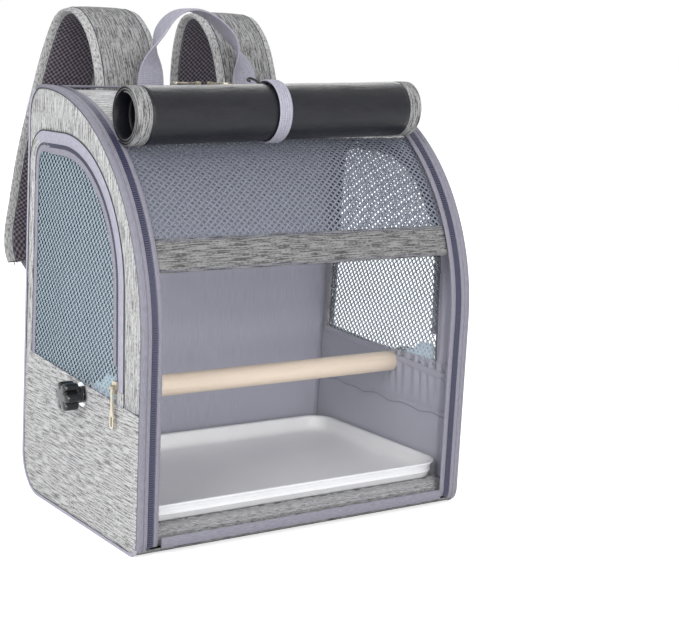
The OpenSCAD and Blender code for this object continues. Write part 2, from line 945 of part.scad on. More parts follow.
// The webbing leans outwards on its way down, which lifts one corner of its upper end
web_run = norm([pad_end[1] - web_low[1], pad_end[2] - web_low[2]]) - tab_drop - tab_l - lock_l;
web_drop = web_w / 2 * sin(atan2(web_low[0] - pad_end[0], web_run)) + soft_gap;

// Local frame at the pad's end: X across, Z back up the webbing
module at_pad_end(s) {
    on_side(s)
        translate(pad_end)
            rotate([-web_tilt, 0, 0])
                children();
}

module strap_tab(s) {
    color("#77767c")
        at_pad_end(s)
            translate([0, tab_t / 2, -tab_drop])
                rotate([90, 0, 0])
                    linear_extrude(tab_t)
                        polygon([[-pad_w * 0.3, 0], [pad_w * 0.3, 0], [web_w / 2, -tab_l], [-web_w / 2, -tab_l]]);
}

module ladder_lock(s) {
    slot_w = web_w + 2;
    color("#1c1c1f")
        at_pad_end(s)
            translate([0, lock_t / 2, -tab_drop - tab_l - soft_gap])
                rotate([90, 0, 0])
                    linear_extrude(lock_t)
                        difference() {
                            offset(3)
                                offset(delta = -3)
                                    translate([-lock_w / 2, -lock_l])
                                        square([lock_w, lock_l]);
                            for (z = [-8, -17])
                                translate([-slot_w / 2, z])
                                    square([slot_w, 5]);
                        }
}

module strap_web(s) {
    down = [0, -sin(web_tilt), -cos(web_tilt)];
    top = pad_end + down * (tab_drop + tab_l + lock_l + soft_gap + web_drop);
    path = [for (k = [0:6]) top + (web_low - top) * k / 6];
    color("#202024")
        on_side(s)
            sweep(path, [for (p = path) [1, 0, 0]], flat_section(web_w, web_t));
}

module web_anchors() {
    tab_w = web_w + 10;
    color("#77767c")
        for (s = [-1, 1])
            on_side(s)
                along_x(web_low[0] - tab_w / 2, web_low[0] + tab_w / 2)
                    intersection() {
                        wall(-yoke_t, 0);
                        area(0, web_low[2] - 26, far, web_low[2] - soft_gap);
                    }
}

bottom_panel();
base_board();
floor_mat();
back_panel();
back_board();
back_lining();
back_pad();
side_upper(-1);  // side_upper_left
side_upper(1);  // side_upper_right
side_lower(-1);  // side_lower_left
side_lower(1);  // side_lower_right
side_lining(-1);  // side_lining_left
side_lining(1);  // side_lining_right
side_net(-1);  // side_net_left
side_net(1);  // side_net_right
side_zip(-1);  // side_zip_left
side_zip(1);  // side_zip_right
side_flap(-1);  // side_flap_left
side_flap(1);  // side_flap_right
flap_tape(-1);  // flap_tape_left
flap_tape(1);  // flap_tape_right
side_slider(-1);  // side_slider_left
side_slider(1);  // side_slider_right
side_pull(-1);  // side_pull_left
side_pull(1);  // side_pull_right
arch_tape(-1);  // arch_tape_left
arch_tape(1);  // arch_tape_right
arch_wires();
top_tape();
front_window();
front_band();
front_mesh();
front_binding();
door_tape(-1);  // door_tape_left
door_tape(1);  // door_tape_right
top_panel();
shade_roll();
shade_bindings();
roll_strap();
front_slider(-1);  // front_slider_left
front_slider(1);  // front_slider_right
front_pull(-1);  // front_pull_left
front_pull(1);  // front_pull_right
perch();
perch_screws();
perch_washers();
knob(-1);  // knob_left
knob(1);  // knob_right
tray();
handle();
strap_yoke();
strap_pad(-1);  // strap_pad_left
strap_pad(1);  // strap_pad_right
strap_tab(-1);  // strap_tab_left
strap_tab(1);  // strap_tab_right
ladder_lock(-1);  // ladder_lock_left
ladder_lock(1);  // ladder_lock_right
strap_web(-1);  // strap_web_left
strap_web(1);  // strap_web_right
web_anchors();
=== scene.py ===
"""Looks of a soft-sided bird carrier worn as a backpack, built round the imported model.

Lengths in the code are millimetres; MM turns them into metres.
"""

import math

import bmesh
import bpy
from bpy.props import FloatProperty, FloatVectorProperty, PointerProperty
from mathutils import Matrix, Vector, noise


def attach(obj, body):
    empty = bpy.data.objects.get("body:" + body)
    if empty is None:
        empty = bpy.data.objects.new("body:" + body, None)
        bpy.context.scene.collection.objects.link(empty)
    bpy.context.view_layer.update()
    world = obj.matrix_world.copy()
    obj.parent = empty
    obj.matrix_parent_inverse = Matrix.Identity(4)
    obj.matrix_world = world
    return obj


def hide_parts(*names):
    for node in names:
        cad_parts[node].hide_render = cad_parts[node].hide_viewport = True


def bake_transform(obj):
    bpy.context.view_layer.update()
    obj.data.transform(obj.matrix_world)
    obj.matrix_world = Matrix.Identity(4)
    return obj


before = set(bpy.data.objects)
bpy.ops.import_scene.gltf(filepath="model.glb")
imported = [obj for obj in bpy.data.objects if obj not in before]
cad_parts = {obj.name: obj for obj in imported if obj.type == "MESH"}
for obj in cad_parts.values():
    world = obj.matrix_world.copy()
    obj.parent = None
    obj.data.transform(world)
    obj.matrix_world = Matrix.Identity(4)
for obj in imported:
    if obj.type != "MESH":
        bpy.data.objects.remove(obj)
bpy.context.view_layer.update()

bl_info = {
    "name": "Bird carrier backpack",
    "version": (1, 0, 0),
    "blender": (4, 5, 0),
    "location": "3D View > Sidebar > Carrier",
    "description": "Cloth, nets, zips, film and trim of a bird carrier worn as a backpack",
    "category": "Object",
}

MM = 0.001
SIDES = (("left", -1), ("right", 1))


def srgb(code):
    """The linear colour of an sRGB hex value, as red, green, blue and one."""
    parts = [int(code[k : k + 2], 16) / 255 for k in (0, 2, 4)]
    return tuple(p / 12.92 if p <= 0.04045 else ((p + 0.055) / 1.055) ** 2.4 for p in parts) + (1.0,)


# ---- Sizes and colours that a user would change ----


def millimetres(name, value, about):
    """A length whose default is given in millimetres."""
    return FloatProperty(name=name, description=about, default=value * MM, unit="LENGTH", precision=4)


def tint(name, code, about):
    """A colour whose default is given as an sRGB hex value."""
    return FloatVectorProperty(
        name=name, description=about, default=srgb(code)[:3], subtype="COLOR", min=0, max=1
    )


class CarrierSizes(bpy.types.PropertyGroup):
    tooth_pitch: millimetres("Tooth pitch", 2.0, "Distance from one zip tooth to the next on the same tape")
    net_hole: millimetres("Net hole", 4.0, "Width of the side net's holes")
    mesh_strand: millimetres("Front mesh strand", 1.15, "Width of the front mesh's strands")
    film_thickness: millimetres("Film thickness", 0.5, "Thickness of the clear window")
    stitch_pitch: millimetres("Stitch pitch", 3.4, "Distance from one stitch to the next")
    piping_radius: millimetres("Piping radius", 1.6, "Radius of the piping along the sides' edges")


class CarrierColours(bpy.types.PropertyGroup):
    melange_light: tint("Melange, light yarn", "CCCBCA", "Light yarn of the outer cloth")
    melange_dark: tint("Melange, dark yarn", "797776", "Dark yarn of the outer cloth")
    ribbon: tint("Ribbon", "7F7D87", "Nylon ribbon and webbing")
    lining: tint("Lining", "A09FAB", "Satin lining")
    net: tint("Net", "BACFD9", "Side net")
    shade: tint("Shade", "1B1B21", "Coated shade cloth")
    wood: tint("Wood", "E3D0B8", "Perch")
    tray: tint("Tray", "E8E7E5", "Moulded tray")


def sizes():
    """The sizes that a user would change, in metres."""
    return bpy.context.scene.carrier_sizes


def colour(name):
    """One of the colours that a user would change, with an alpha of one."""
    return (*getattr(bpy.context.scene.carrier_colours, name), 1.0)


# ---- Side outline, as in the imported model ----


class Outline:
    """Arcs in Y and Z joined by their tangents, with straight lines to a start and an end.

    at(t) walks along it and gives y, z and the outward normal. A part is its first distance and its
    length, then (from, to, normal) of a line or (y, z, radius, angle, angle) of an arc.
    """

    def __init__(self, arcs, start=None, end=None):
        self.parts = []
        length = 0
        here = start
        for cy, cz, r, a0, a1 in arcs:
            n0 = (math.cos(math.radians(a0)), math.sin(math.radians(a0)))
            first = (cy + r * n0[0], cz + r * n0[1])
            if here is not None:
                run = math.dist(here, first)
                self.parts.append((length, run, here, first, n0))
                length += run
            run = r * abs(math.radians(a1 - a0))
            self.parts.append((length, run, cy, cz, r, a0, a1))
            length += run
            n1 = (math.cos(math.radians(a1)), math.sin(math.radians(a1)))
            here = (cy + r * n1[0], cz + r * n1[1])
        if end is not None:
            run = math.dist(here, end)
            self.parts.append((length, run, here, end, n1))
            length += run
        self.length = length

    def at(self, t):
        part = self.parts[0]
        for p in self.parts:
            if t >= p[0]:
                part = p
        f = 0 if part[1] == 0 else (t - part[0]) / part[1]
        if len(part) == 5:
            a, b, n = part[2:]
            return a[0] + (b[0] - a[0]) * f, a[1] + (b[1] - a[1]) * f, n[0], n[1]
        cy, cz, r, a0, a1 = part[2:]
        a = math.radians(a0 + (a1 - a0) * f)
        return cy + r * math.cos(a), cz + r * math.sin(a), math.cos(a), math.sin(a)

    def find(self, low, high, test):
        """The t between low and high where test turns from false to true."""
        for _ in range(40):
            mid = (low + high) / 2
            if test(*self.at(mid)[:2]):
                high = mid
            else:
                low = mid
        return (low + high) / 2


def touch(a, b):
    """Angle of the outward normal of the line that touches two circles."""
    run = math.dist(a[:2], b[:2])
    turn = math.atan2(b[1] - a[1], b[0] - a[0]) + math.acos((a[2] - b[2]) / run)
    return math.degrees(turn) % 360


# Half the width over the side panels, and the arcs of the bag's outline: y, z and radius
HALF_W = 170
FOOT = (-105, 16, 16)
SHOULDER = (73, 188, 200)
REAR_TOP = (78, 361, 27)
HEEL = (91, 36, 36)
FRONT_TURN = touch(FOOT, SHOULDER)
BACK_TURN = touch(REAR_TOP, HEEL)
BAG = Outline(
    [
        (*FOOT, 270, FRONT_TURN),
        (*SHOULDER, FRONT_TURN, 90),
        (*REAR_TOP, 90, BACK_TURN),
        (*HEEL, BACK_TURN, -90),
    ],
    end=(FOOT[0], 0),
)
# Distances along the outline where the straight back and the flat base begin
T_BACK = BAG.parts[5][0]
T_BASE = BAG.parts[7][0]


def t_front(z):
    """Distance along the outline to a height on the front."""
    return BAG.find(0, BAG.parts[3][0], lambda y, h: h >= z)


def t_top(y):
    """Distance along the outline to a depth on the top."""
    return BAG.find(190, BAG.parts[4][0] + 30, lambda d, h: d >= y)


def t_back(z):
    """Distance along the outline to a height on the back."""
    return BAG.find(BAG.parts[4][0], BAG.parts[7][0], lambda y, h: h <= z)


# Distances along the outline where the front door's pieces and the zips begin and end
T_HINGE = t_front(8)
T_WINDOW = t_front(16)
T_BAND = t_front(243)
T_MESH = t_front(270)
T_SEAM = t_front(351.4)
T_DOOR_END = t_top(84)
T_TAPE_END = t_top(92)
# How far the front door's sheets lie inside the outline, and half their width
DOOR_IN = 4
PANEL_W = 148.5

# The side door inside the outline: its arch, its front edge and its foot
DOOR_ARCH = (30.5, 224.6)
DOOR_R = 111
DOOR_FRONT = DOOR_ARCH[0] - DOOR_R
DOOR_FOOT = 126
# Its rear top corner, and its rear edge 16 mm inside the back: the edge's normal and distance
CORNER_R = 20
BACK_N = (math.cos(math.radians(BACK_TURN)), math.sin(math.radians(BACK_TURN)))
REAR_K = HEEL[0] * BACK_N[0] + HEEL[1] * BACK_N[1] + HEEL[2] - 16
CORNER = ((REAR_K - CORNER_R - 315.6 * BACK_N[1]) / BACK_N[0], 315.6)

# The line on which its net folds, and the direction of that line
FOLD_LOW = (DOOR_FRONT, 147)
FOLD_HIGH = (CORNER[0] - 8, CORNER[1] + CORNER_R)

# Middle of the perch, and the share of a zip's pitch that its tooth takes up
PERCH = (-12, 121)
TOOTH = 0.62


def rear_line(z, out=0):
    """Depth of the side door's straight rear edge at a height, moved outwards."""
    return (REAR_K + out - z * BACK_N[1]) / BACK_N[0]


DOOR_EDGE = Outline(
    [(*DOOR_ARCH, DOOR_R, 180, 90), (*CORNER, CORNER_R, 90, BACK_TURN)],
    start=(DOOR_FRONT, DOOR_FOOT),
    end=(rear_line(DOOR_FOOT), DOOR_FOOT),
)


def off_back(x, z, out):
    """A point that stands out from the back at a height."""
    y, _, ny, nz = BAG.at(t_back(z))
    return x, y + out * ny, z + out * nz


def seam_height(y):
    """Height of the seam under the side door, which falls a little towards the front."""
    return 139.2 - 0.0646 * (113 - y)


def waves(a, b, size, seed=0):
    """Smooth noise from -1 to 1 over a cloth, with features about size long."""
    return noise.noise(Vector((a / size, b / size, seed * 7.3)))


def blend(a, b, f):
    """The value a share f of the way from a to b."""
    return a + (b - a) * f


# ---- Meshes ----


def grid_mesh(cols, rows, place, uv):
    """A bmesh grid whose corner (i, j) goes to place(i, j), with U across the threads and V along them."""
    bm = bmesh.new()
    bmesh.ops.create_grid(bm, x_segments=cols, y_segments=rows, size=1)
    spots = {v: (round((v.co.x + 1) / 2 * cols), round((v.co.y + 1) / 2 * rows)) for v in bm.verts}
    layer = bm.loops.layers.uv.new("along")
    for face in bm.faces:
        for loop in face.loops:
            u, v = uv(*spots[loop.vert])
            loop[layer].uv = (u * MM, v * MM)
    for v, spot in spots.items():
        v.co = Vector(place(*spot)) * MM
    return bm


def sealed(bm):
    """Merges double points, closes open ends and turns the faces outwards."""
    bmesh.ops.remove_doubles(bm, verts=bm.verts, dist=1e-6)
    bmesh.ops.holes_fill(bm, edges=[e for e in bm.edges if e.is_boundary], sides=0)
    bmesh.ops.recalc_face_normals(bm, faces=bm.faces)
    return bm


def band(stations, profile, ring=False):
    """A closed profile carried along stations of (origin, across, up, distance)."""
    m, n = len(profile), len(stations)
    around = [0]
    for k in range(m):
        around.append(around[-1] + math.dist(profile[k], profile[(k + 1) % m]))
    step = stations[1][3] - stations[0][3]

    def place(i, j):
        origin, across, up, _ = stations[j % n]
        a, b = profile[i % m]
        return Vector(origin) + a * Vector(across) + b * Vector(up)

    def uv(i, j):
        return around[i], stations[j][3] if j < n else stations[-1][3] + step

    return sealed(grid_mesh(m, n if ring else n - 1, place, uv))


def strip(width, thick, crown=0.0, steps=6, ribs=0, rib=0.0):
    """A ribbon's profile: flat below, crowned above, with round edges, and ribs along it."""
    r = thick / 2
    flat = width / 2 - r
    top = []
    for k in range(steps + 1):
        f = 2 * k / steps - 1
        ridge = rib * (0.5 - 0.5 * math.cos(2 * math.pi * ribs * k / steps)) if ribs else 0
        top.append((f * flat, r + crown * (1 - f * f) + ridge))
    right = [(flat + r * c, r * s) for c, s in ((0.7, 0.7), (1, 0), (0.7, -0.7))]
    low = [(flat, -r), (0, -r), (-flat, -r)]
    return top + right + low + [(-a, b) for a, b in reversed(right)]


def tube(radius, steps=10):
    """A round profile."""
    turn = 2 * math.pi / steps
    return [(radius * math.cos(turn * k), -radius * math.sin(turn * k)) for k in range(steps)]


def spaced(t0, t1, step=4, start=0.0):
    """Distances from t0 to t1, about step apart; with a start they stand inside the steps."""
    n = max(2, round(abs(t1 - t0) / step))
    return [blend(t0, t1, (k + start) / n) for k in range(n + 1 if not start else n)]


def rim(ts, x, depth, s=1):
    """Stations on the curved front, top and back: width along X, top outwards."""
    made = []
    for t in ts:
        y, z, ny, nz = BAG.at(t)
        made.append(((s * x, y - depth * ny, z - depth * nz), (s, 0, 0), (0, ny, nz), t))
    return made


def flank(ts, out, inset, s, line=BAG, wobble=None):
    """Stations on a side, out from its cloth: width outwards in the side's plane, top along X."""
    made = []
    for t in ts:
        y, z, ny, nz = line.at(t)
        d = inset + (wobble(t) if wobble else 0)
        made.append(((s * (HALF_W + out), y - d * ny, z - d * nz), (0, ny, nz), (s, 0, 0), t))
    return made


def along(points, widths):
    """Stations along a path, with a width direction at each point."""
    made, run = [], 0
    n = len(points)
    for k in range(n):
        if k:
            run += math.dist(points[k], points[k - 1])
        way = (Vector(points[min(k + 1, n - 1)]) - Vector(points[max(k - 1, 0)])).normalized()
        across = Vector(widths[k])
        across = (across - across.dot(way) * way).normalized()
        made.append((Vector(points[k]), across, way.cross(across), run))
    return made


def blocks(stations, width, length, height, shift=0.0, lift=0.0):
    """Little blocks on stations, for zip teeth and stitches."""
    bm = bmesh.new()
    for origin, across, up, _ in stations:
        x, z = Vector(across).normalized(), Vector(up).normalized()
        turn = Matrix((x, z.cross(x), z)).transposed().to_4x4()
        spot = Matrix.Translation((Vector(origin) + shift * x + lift * z) * MM)
        size = Matrix.Diagonal((width * MM, length * MM, height * MM, 1))
        bmesh.ops.create_cube(bm, size=1, matrix=spot @ turn @ size)
    return bm


def seam(a, b, across, up):
    """Stitches in a straight line from a to b."""
    run = math.dist(a, b)
    n = max(1, round(run / (sizes().stitch_pitch / MM)))
    line = [(Vector(a).lerp(Vector(b), (k + 0.5) / n), across, up, 0) for k in range(n)]
    return blocks(line, 0.6, 2.3, 0.5)


def join(parts):
    """One bmesh from several."""
    whole = bmesh.new()
    for part in parts:
        scratch = bpy.data.meshes.new("scratch")
        part.to_mesh(scratch)
        part.free()
        whole.from_mesh(scratch)
        bpy.data.meshes.remove(scratch)
    return whole


def piece(
    bm,
    name,
    finish,
    body,
    stands_for=(),
    sharp=38,
    wall=0.0,
    offset=-1.0,
    inside=0,
    edge=0,
):
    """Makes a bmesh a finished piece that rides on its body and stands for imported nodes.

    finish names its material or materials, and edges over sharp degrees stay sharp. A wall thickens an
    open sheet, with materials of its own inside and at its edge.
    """
    for face in bm.faces:
        face.smooth = True
    for line in bm.edges:
        line.smooth = line.calc_face_angle(0) < math.radians(sharp)
    mesh = bpy.data.meshes.new(name)
    bm.to_mesh(mesh)
    bm.free()
    made = bpy.data.objects.new(name, mesh)
    bpy.context.scene.collection.objects.link(made)
    for material in finish if isinstance(finish, list) else [finish]:
        mesh.materials.append(bpy.data.materials[material])
    if wall:
        solid = made.modifiers.new("wall", "SOLIDIFY")
        solid.thickness = wall * MM
        solid.offset = offset
        solid.material_offset = inside
        solid.material_offset_rim = edge
    if stands_for:
        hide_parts(*stands_for)
    if body:
        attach(made, body)
    return made


def outwards(bm, s):
    """Turns a side's open sheet so that its faces look outwards along X."""
    bm.normal_update()
    if sum(face.normal.x * face.calc_area() for face in bm.faces) * s < 0:
        bmesh.ops.reverse_faces(bm, faces=bm.faces)
    return bm


def away(bm, centre=(0, 0, 180)):
    """Turns an open sheet so that its faces look away from a point."""
    bm.normal_update()
    middle = Vector(centre) * MM
    facing = sum(face.normal.dot(face.calc_center_median() - middle) * face.calc_area() for face in bm.faces)
    if facing < 0:
        bmesh.ops.reverse_faces(bm, faces=bm.faces)
    return bm


# ---- Materials ----


def add(tree, kind, inputs=None, stops=(), **settings):
    """Adds a shader node. An input is a value, a socket to link, or a node whose first output is linked."""
    node = tree.nodes.new("ShaderNode" + kind)
    for key, value in settings.items():
        setattr(node, key, value)
    for _ in stops[2:]:
        node.color_ramp.elements.new(0.5)
    for k, (position, tone) in enumerate(stops):
        node.color_ramp.elements[k].position = position
        node.color_ramp.elements[k].color = tone
    for key, value in (inputs or {}).items():
        if isinstance(value, bpy.types.Node):
            value = value.outputs[0]
        if isinstance(value, bpy.types.NodeSocket):
            tree.links.new(value, node.inputs[key])
        else:
            node.inputs[key].default_value = value
    return node


def blank(name):
    """The node tree of a new material, with nothing in it."""
    made = bpy.data.materials.new(name)
    made.use_nodes = True
    made.node_tree.nodes.clear()
    return made.node_tree


def close(tree, shader, bump=None):
    """Links the shader, with its bumps, to the material's output."""
    if bump is not None:
        tree.links.new(bump.outputs[0], shader.inputs["Normal"])
    add(tree, "OutputMaterial", {"Surface": shader})


def shade_of(tone, factor):
    """A darker or lighter version of a colour."""
    return tuple(min(1.0, c * factor) for c in tone[:3]) + (1.0,)


def varied(tone, low, high):
    """Colour stops from one version of a colour to another."""
    return [(0.3, shade_of(tone, low)), (0.7, shade_of(tone, high))]


def melange(name, light, dark, streak=19.0, lean=0.5):
    # Melange polyester oxford, woven from light and dark yarn: matt, with streaks of dark yarn along
    # one direction. Yarn is 0.4 mm; the streaks are drawn 1.1 mm wide so that they show.
    tree = blank(name)
    uv = add(tree, "UVMap", uv_map="along")
    long = add(tree, "Mapping", {"Vector": uv, "Scale": (1 / 0.0011, 1 / (streak * MM), 1)})
    streaks = add(tree, "TexNoise", {"Vector": long, "Scale": 1.0, "Detail": 1.0, "Distortion": 0.15})
    short = add(tree, "Mapping", {"Vector": uv, "Scale": (1 / 0.0011, 1 / 0.003, 1)})
    flecks = add(tree, "TexNoise", {"Vector": short, "Scale": 1.0, "Detail": 1.0})
    total = add(tree, "Math", {0: streaks, 1: 0.66}, operation="MULTIPLY")
    total = add(tree, "Math", {0: flecks, 1: 0.34, 2: total}, operation="MULTIPLY_ADD")
    stops = [(0.41 - 0.04 * lean, dark), (0.58 - 0.04 * lean, light)]
    dye = add(tree, "ValToRGB", {"Fac": total}, stops)
    height = add(tree, "Math", {0: flecks, 1: streaks}, operation="ADD")
    bump = add(tree, "Bump", {"Height": height, "Strength": 0.3, "Distance": 0.0004})
    cloth = {"Base Color": dye, "Roughness": 0.88, "Specular IOR Level": 0.25}
    close(tree, add(tree, "BsdfPrincipled", cloth), bump)


def grosgrain(name, tone, pitch=1.1, rough=0.62, strength=0.5):
    # Woven nylon ribbon or webbing: fine ribs across its length, a soft sheen, slightly uneven dye.
    # A wave of scale 0.3183 has about one rib to a unit, which the mapping makes one pitch.
    tree = blank(name)
    uv = add(tree, "UVMap", uv_map="along")
    ribs = add(tree, "Mapping", {"Vector": uv, "Scale": (0, 1 / (pitch * MM), 0)})
    wave = add(tree, "TexWave", {"Vector": ribs, "Scale": 0.3183, "Distortion": 0.0}, bands_direction="Y")
    threads = add(tree, "Mapping", {"Vector": uv, "Scale": (1 / 0.0012, 1 / 0.006, 1)})
    uneven = add(tree, "TexNoise", {"Vector": threads, "Scale": 1.0, "Detail": 2.0})
    dye = add(tree, "ValToRGB", {"Fac": uneven}, varied(tone, 0.86, 1.12))
    height = add(tree, "Math", {0: wave.outputs["Fac"], 1: uneven}, operation="ADD")
    bump = add(tree, "Bump", {"Height": height, "Strength": strength, "Distance": 0.0003})
    cloth = {"Base Color": dye, "Roughness": rough, "Specular IOR Level": 0.3}
    close(tree, add(tree, "BsdfPrincipled", cloth), bump)


def satin(name, tone):
    # Warp-faced polyester satin: smooth, with a soft sheen and faint threads along the warp.
    tree = blank(name)
    uv = add(tree, "UVMap", uv_map="along")
    warp = add(tree, "Mapping", {"Vector": uv, "Scale": (1 / 0.0008, 1 / 0.02, 1)})
    threads = add(tree, "TexNoise", {"Vector": warp, "Scale": 1.0, "Detail": 2.0})
    soft = add(tree, "Mapping", {"Vector": uv, "Scale": (1 / 0.03, 1 / 0.05, 1)})
    creases = add(tree, "TexNoise", {"Vector": soft, "Scale": 1.0, "Detail": 3.0})
    dye = add(tree, "ValToRGB", {"Fac": threads}, varied(tone, 0.9, 1.08))
    height = add(tree, "Math", {0: creases, 1: 6.0, 2: threads}, operation="MULTIPLY_ADD")
    bump = add(tree, "Bump", {"Height": height, "Strength": 0.25, "Distance": 0.0006})
    cloth = {"Base Color": dye, "Roughness": 0.42, "Specular IOR Level": 0.4}
    close(tree, add(tree, "BsdfPrincipled", cloth), bump)


def yarn(name, tone, rough=0.7, spread=0.2, through=0.0):
    # Knitted polyester monofilament, and sewing thread: rounded strands with small specks of light
    # between filaments. Some light comes through a fine net, whose hole walls get a dark yarn: painted shade.
    tree = blank(name)
    place = add(tree, "TexCoord").outputs["Object"]
    specks = add(tree, "TexNoise", {"Vector": place, "Scale": 900.0, "Detail": 2.0})
    dye = add(tree, "ValToRGB", {"Fac": specks}, varied(tone, 1 - spread, 1 + spread))
    bump = add(tree, "Bump", {"Height": specks, "Strength": 0.4, "Distance": 0.0003})
    knit = add(tree, "BsdfPrincipled", {"Base Color": dye, "Roughness": rough, "Normal": bump})
    if through:
        lit = add(tree, "BsdfTranslucent", {"Color": dye})
        knit = add(tree, "MixShader", {0: through, 1: knit, 2: lit})
    close(tree, knit)


def spacer(name, tone):
    # Knitted polyester spacer mesh on padding: cells 3.6 mm apart in diamonds, painted dark at their
    # middles as painted shade in the mesh's hollows, with paler shiny knit between them.
    tree = blank(name)
    uv = add(tree, "UVMap", uv_map="along")
    diamonds = {"Vector": uv, "Rotation": (0, 0, 0.785), "Scale": (1 / 0.0036, 1 / 0.0036, 1)}
    diamonds = add(tree, "Mapping", diamonds)
    cells = add(tree, "TexVoronoi", {"Vector": diamonds, "Scale": 1.0, "Randomness": 0.12})
    # Painted shade: darkest at the cells' middles, where the bump makes hollows
    stops = [(0.2, shade_of(tone, 0.35)), (0.42, tone), (0.58, shade_of(tone, 3.2))]
    dye = add(tree, "ValToRGB", {"Fac": cells}, stops)
    bump = add(tree, "Bump", {"Height": cells, "Strength": 0.6, "Distance": 0.0009})
    cloth = {"Base Color": dye, "Roughness": 0.7, "Specular IOR Level": 0.3}
    close(tree, add(tree, "BsdfPrincipled", cloth), bump)


def moulded(name, tone, rough, grain=0.0006, strength=0.08, coat=0.0):
    # Injection-moulded polypropylene or nylon: a fine spark-eroded grain from the mould.
    tree = blank(name)
    place = add(tree, "TexCoord").outputs["Object"]
    fine = add(tree, "TexNoise", {"Vector": place, "Scale": 1 / grain, "Detail": 2.0})
    broad = add(tree, "TexNoise", {"Vector": place, "Scale": 22.0, "Detail": 3.0})
    plastic = add(tree, "ValToRGB", {"Fac": broad}, varied(tone, 0.96, 1.03))
    gloss = add(tree, "ValToRGB", {"Fac": broad}, varied((rough,) * 3, 0.85, 1.15))
    bump = add(tree, "Bump", {"Height": fine, "Strength": strength, "Distance": 0.0002})
    skin = {"Base Color": plastic, "Roughness": gloss, "Coat Weight": coat, "Coat Roughness": 0.12}
    close(tree, add(tree, "BsdfPrincipled", skin), bump)


def metal(name, tone, rough, wear=0.12):
    # Die-cast zinc or steel with a plated finish: metallic, with small uneven patches of roughness.
    tree = blank(name)
    place = add(tree, "TexCoord").outputs["Object"]
    patches = add(tree, "TexNoise", {"Vector": place, "Scale": 260.0, "Detail": 3.0})
    stops = [(0.3, (max(0.05, rough - wear),) * 3 + (1,)), (0.7, (rough + wear,) * 3 + (1,))]
    gloss = add(tree, "ValToRGB", {"Fac": patches}, stops)
    bump = add(tree, "Bump", {"Height": patches, "Strength": 0.06, "Distance": 0.0003})
    plating = {"Base Color": tone, "Metallic": 1.0, "Roughness": gloss}
    close(tree, add(tree, "BsdfPrincipled", plating), bump)


def beech(name, tone):
    # Turned, sanded beech: pale, straight grain along the rod with short brown flecks.
    tree = blank(name)
    place = add(tree, "TexCoord").outputs["Object"]
    grain = add(tree, "Mapping", {"Vector": place, "Scale": (14, 420, 420)})
    lines = add(tree, "TexNoise", {"Vector": grain, "Scale": 1.0, "Detail": 4.0, "Roughness": 0.65})
    short = add(tree, "Mapping", {"Vector": place, "Scale": (320, 1500, 1500)})
    flecks = add(tree, "TexNoise", {"Vector": short, "Scale": 1.0, "Detail": 1.0})
    stops = [(0.3, shade_of(tone, 0.94)), (0.5, tone), (0.7, shade_of(tone, 1.04))]
    wood = add(tree, "ValToRGB", {"Fac": lines}, stops)
    stops = [(0.26, (0.8, 0.7, 0.6, 1)), (0.36, (1, 1, 1, 1))]
    brown = add(tree, "ValToRGB", {"Fac": flecks}, stops)
    # Sockets 6 and 7 are the two colours, and output 2 is the mixed one
    mixed = add(tree, "Mix", {0: 0.6, 6: wood, 7: brown}, data_type="RGBA", blend_type="MULTIPLY")
    bump = add(tree, "Bump", {"Height": lines, "Strength": 0.12, "Distance": 0.0003})
    rod = add(tree, "BsdfPrincipled", {"Base Color": mixed.outputs[2], "Roughness": 0.5})
    close(tree, rod, bump)


def clear_film(name):
    # Soft clear PVC film: you see straight through it; only its shine shows, with soft ripples.
    tree = blank(name)
    place = add(tree, "TexCoord").outputs["Object"]
    ripple = add(tree, "TexNoise", {"Vector": place, "Scale": 14.0, "Detail": 2.0})
    bump = add(tree, "Bump", {"Height": ripple, "Strength": 0.25, "Distance": 0.002})
    clear = add(tree, "BsdfTransparent", {"Color": srgb("FDFDFE")})
    shine = add(tree, "BsdfGlossy", {"Color": srgb("F4F5F7"), "Roughness": 0.08, "Normal": bump})
    amount = add(tree, "LayerWeight", {"Blend": 0.05, "Normal": bump}).outputs["Facing"]
    close(tree, add(tree, "MixShader", {0: amount, 1: clear, 2: shine}))


def coated(name, tone):
    # Black coated polyester: plain weave under a soft coating, with a dull shine and small creases,
    # whose hollows are painted darker as painted shade.
    tree = blank(name)
    uv = add(tree, "UVMap", uv_map="along")
    weave = add(tree, "Mapping", {"Vector": uv, "Scale": (1 / 0.0009, 1 / 0.0009, 1)})
    threads = add(tree, "TexNoise", {"Vector": weave, "Scale": 1.0, "Detail": 1.0})
    fold = add(tree, "Mapping", {"Vector": uv, "Scale": (1 / 0.009, 1 / 0.045, 1)})
    creases = add(tree, "TexNoise", {"Vector": fold, "Scale": 1.0, "Detail": 4.0, "Roughness": 0.6})
    height = add(tree, "Math", {0: creases, 1: 2.4, 2: threads}, operation="MULTIPLY_ADD")
    bump = add(tree, "Bump", {"Height": height, "Strength": 0.5, "Distance": 0.0007})
    # Painted shade: the colour follows the creases, darker in their hollows and a little lighter on their
    # ridges
    stops = [(0.35, shade_of(tone, 0.65)), (0.7, shade_of(tone, 1.05))]
    dye = add(tree, "ValToRGB", {"Fac": creases}, stops)
    cloth = {"Base Color": dye, "Roughness": 0.29, "Specular IOR Level": 0.3}
    close(tree, add(tree, "BsdfPrincipled", cloth), bump)


